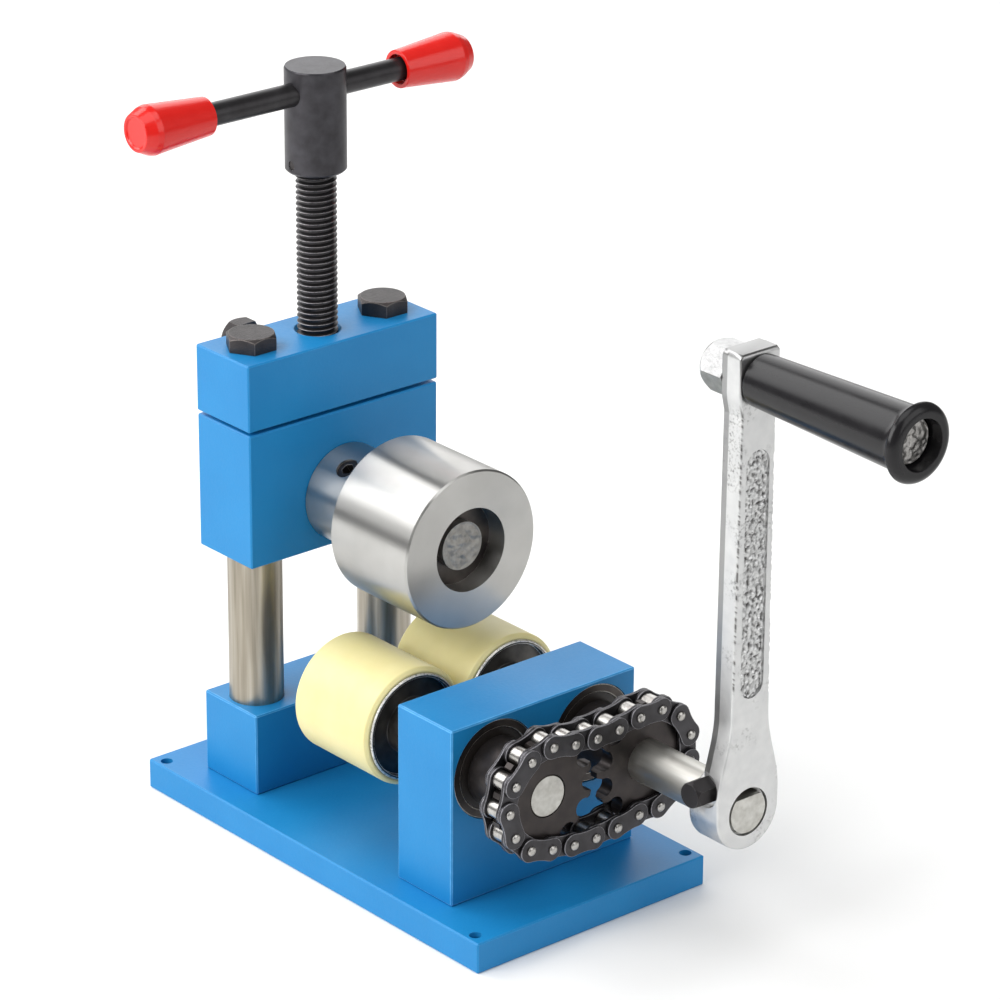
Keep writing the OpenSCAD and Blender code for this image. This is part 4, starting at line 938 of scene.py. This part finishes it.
GRIP_START_R = 8.7
GRIP_END_R = 10.6
GRIP_BORE_R = 6.05
GRIP_RECESS_R = 8.4
GRIP_RECESS = 8.4
GRIP_CHAMFER = 0.6
LIP = 3.0
BELL = 4.0
SPINDLE_R = 5
SPINDLE_RUN_GAP = 0.05
SPINDLE_HEAD_GAP = 0.4
grip_low, grip_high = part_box("handle_grip")
grip_len = (grip_high.y - grip_low.y) / MM
flange_r = (grip_high.x - grip_low.x) / 2 / MM
bell_r = flange_r - GRIP_END_R
bell_curve = [(GRIP_END_R + bell_r * (1 - math.cos(math.radians(a))),
               grip_len - LIP - BELL + BELL * math.sin(math.radians(a))) for a in range(0, 80, 10)]
lip_curve = [(flange_r - LIP * (1 - math.cos(math.radians(a))),
              grip_len - LIP + LIP * math.sin(math.radians(a))) for a in range(0, 91, 10)]
section = ([(GRIP_BORE_R, 0), (GRIP_START_R - GRIP_CHAMFER, 0), (GRIP_START_R, GRIP_CHAMFER)]
           + bell_curve + lip_curve
           + [(GRIP_RECESS_R, grip_len), (GRIP_RECESS_R, grip_len - GRIP_RECESS),
              (GRIP_BORE_R, grip_len - GRIP_RECESS)])
barrel = [(radius, grip_high.y / MM - along) for radius, along in section]
grip = turned(barrel, HANDLE, "Y", ease=0.25, closed=True)
make_piece(grip, "handle_barrel", black_phenolic(), "handle_grip")
spindle_low, spindle_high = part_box("handle_spindle")
head_r = (spindle_high.x - spindle_low.x) / 2 / MM
head_front = spindle_low.y / MM
head_back = grip_low.y / MM + GRIP_RECESS - SPINDLE_HEAD_GAP
run_r = GRIP_BORE_R - SPINDLE_RUN_GAP
spindle_end = spindle_high.y / MM
spindle = turned([*rough_disc(head_r, head_front), (head_r, head_back), (run_r, head_back),
                  (run_r, arm_front), (SPINDLE_R, arm_front), (SPINDLE_R, spindle_end), (0, spindle_end)],
                 HANDLE, "Y")
roughened(spindle, HANDLE, head_front, head_r - ROUGH_MARGIN, size=2.6, depth=0.6)
spindle_steel = sawn_steel("rough_spindle_steel", "#c9c7c4", "#6a6866", 0.34)
make_piece(spindle, "spindle", spindle_steel, "handle_spindle")
nut_chrome = sawn_steel("rough_nut_chrome", "#d2d2d2", "#8c8c8c", 0.34)
make_piece(eased_copy("spindle_nut", 0.4), "dome_nut", nut_chrome, "spindle_nut")

# Studio
# A wide floor of matt white paper and five soft lights: large ones at the left, at the back and at the
# right, and weaker ones above and in front. The camera stands at the photograph's angle.
FLOOR_SIZE = 12
AIM = Vector((0.0411, 0.0072, 0.1121))
CAMERA_TURN = math.radians(-40.415)
CAMERA_RISE = math.radians(22.667)
CAMERA_ROLL = math.radians(0.344)
CAMERA_AWAY = 1.6
CAMERA_LENS = 168


def pale_floor():
    """Matt white paper."""
    material = blank_material("pale_floor")[0]
    return surfaced(material, {"Base Color": linear("#f3f3f2"), "Roughness": 0.7}, {})


floor_shape = bmesh.new()
bmesh.ops.create_grid(floor_shape, x_segments=1, y_segments=1, size=FLOOR_SIZE / 2)
floor_mesh = bpy.data.meshes.new("floor")
floor_shape.to_mesh(floor_mesh)
floor_mesh.materials.append(pale_floor())
floor = bpy.data.objects.new("floor", floor_mesh)
bpy.context.scene.collection.objects.link(floor)


def soft_light(name, place, size, power):
    """A square soft light that faces the machine."""
    light = bpy.data.lights.new(name, "AREA")
    light.size = size
    light.energy = power
    lamp = bpy.data.objects.new(name, light)
    lamp.location = place
    lamp.rotation_euler = (AIM - Vector(place)).to_track_quat("-Z", "Y").to_euler()
    lamp.visible_camera = False
    bpy.context.scene.collection.objects.link(lamp)


soft_light("left_softbox", (-1.4, 0.15, 0.95), 1.1, 22)
soft_light("back_softbox", (-0.5, 1.3, 1.25), 1.5, 24)
soft_light("right_card", (1.25, 1.45, 1.0), 1.6, 15)
soft_light("top_softbox", (-0.2, -0.3, 1.7), 1.2, 10)
soft_light("front_fill", (0.5, -1.6, 1.0), 1.5, 12)

world = bpy.data.worlds.new("studio")
world.use_nodes = True
world.node_tree.nodes["Background"].inputs["Color"].default_value = linear("#ffffff")
world.node_tree.nodes["Background"].inputs["Strength"].default_value = 0.15
bpy.context.scene.world = world
bpy.context.scene.view_settings.view_transform = "Standard"

lens = bpy.data.cameras.new("camera")
lens.lens = CAMERA_LENS
camera = bpy.data.objects.new("camera", lens)
away = Vector((math.sin(CAMERA_TURN) * math.cos(CAMERA_RISE), -math.cos(CAMERA_TURN) * math.cos(CAMERA_RISE),
               math.sin(CAMERA_RISE)))
look = (-away).to_track_quat("-Z", "Y").to_matrix().to_4x4()
stand = Matrix.Translation(AIM + away * CAMERA_AWAY)
camera.matrix_world = stand @ look @ Matrix.Rotation(CAMERA_ROLL, 4, "Z")
bpy.context.scene.collection.objects.link(camera)
bpy.context.scene.camera = camera
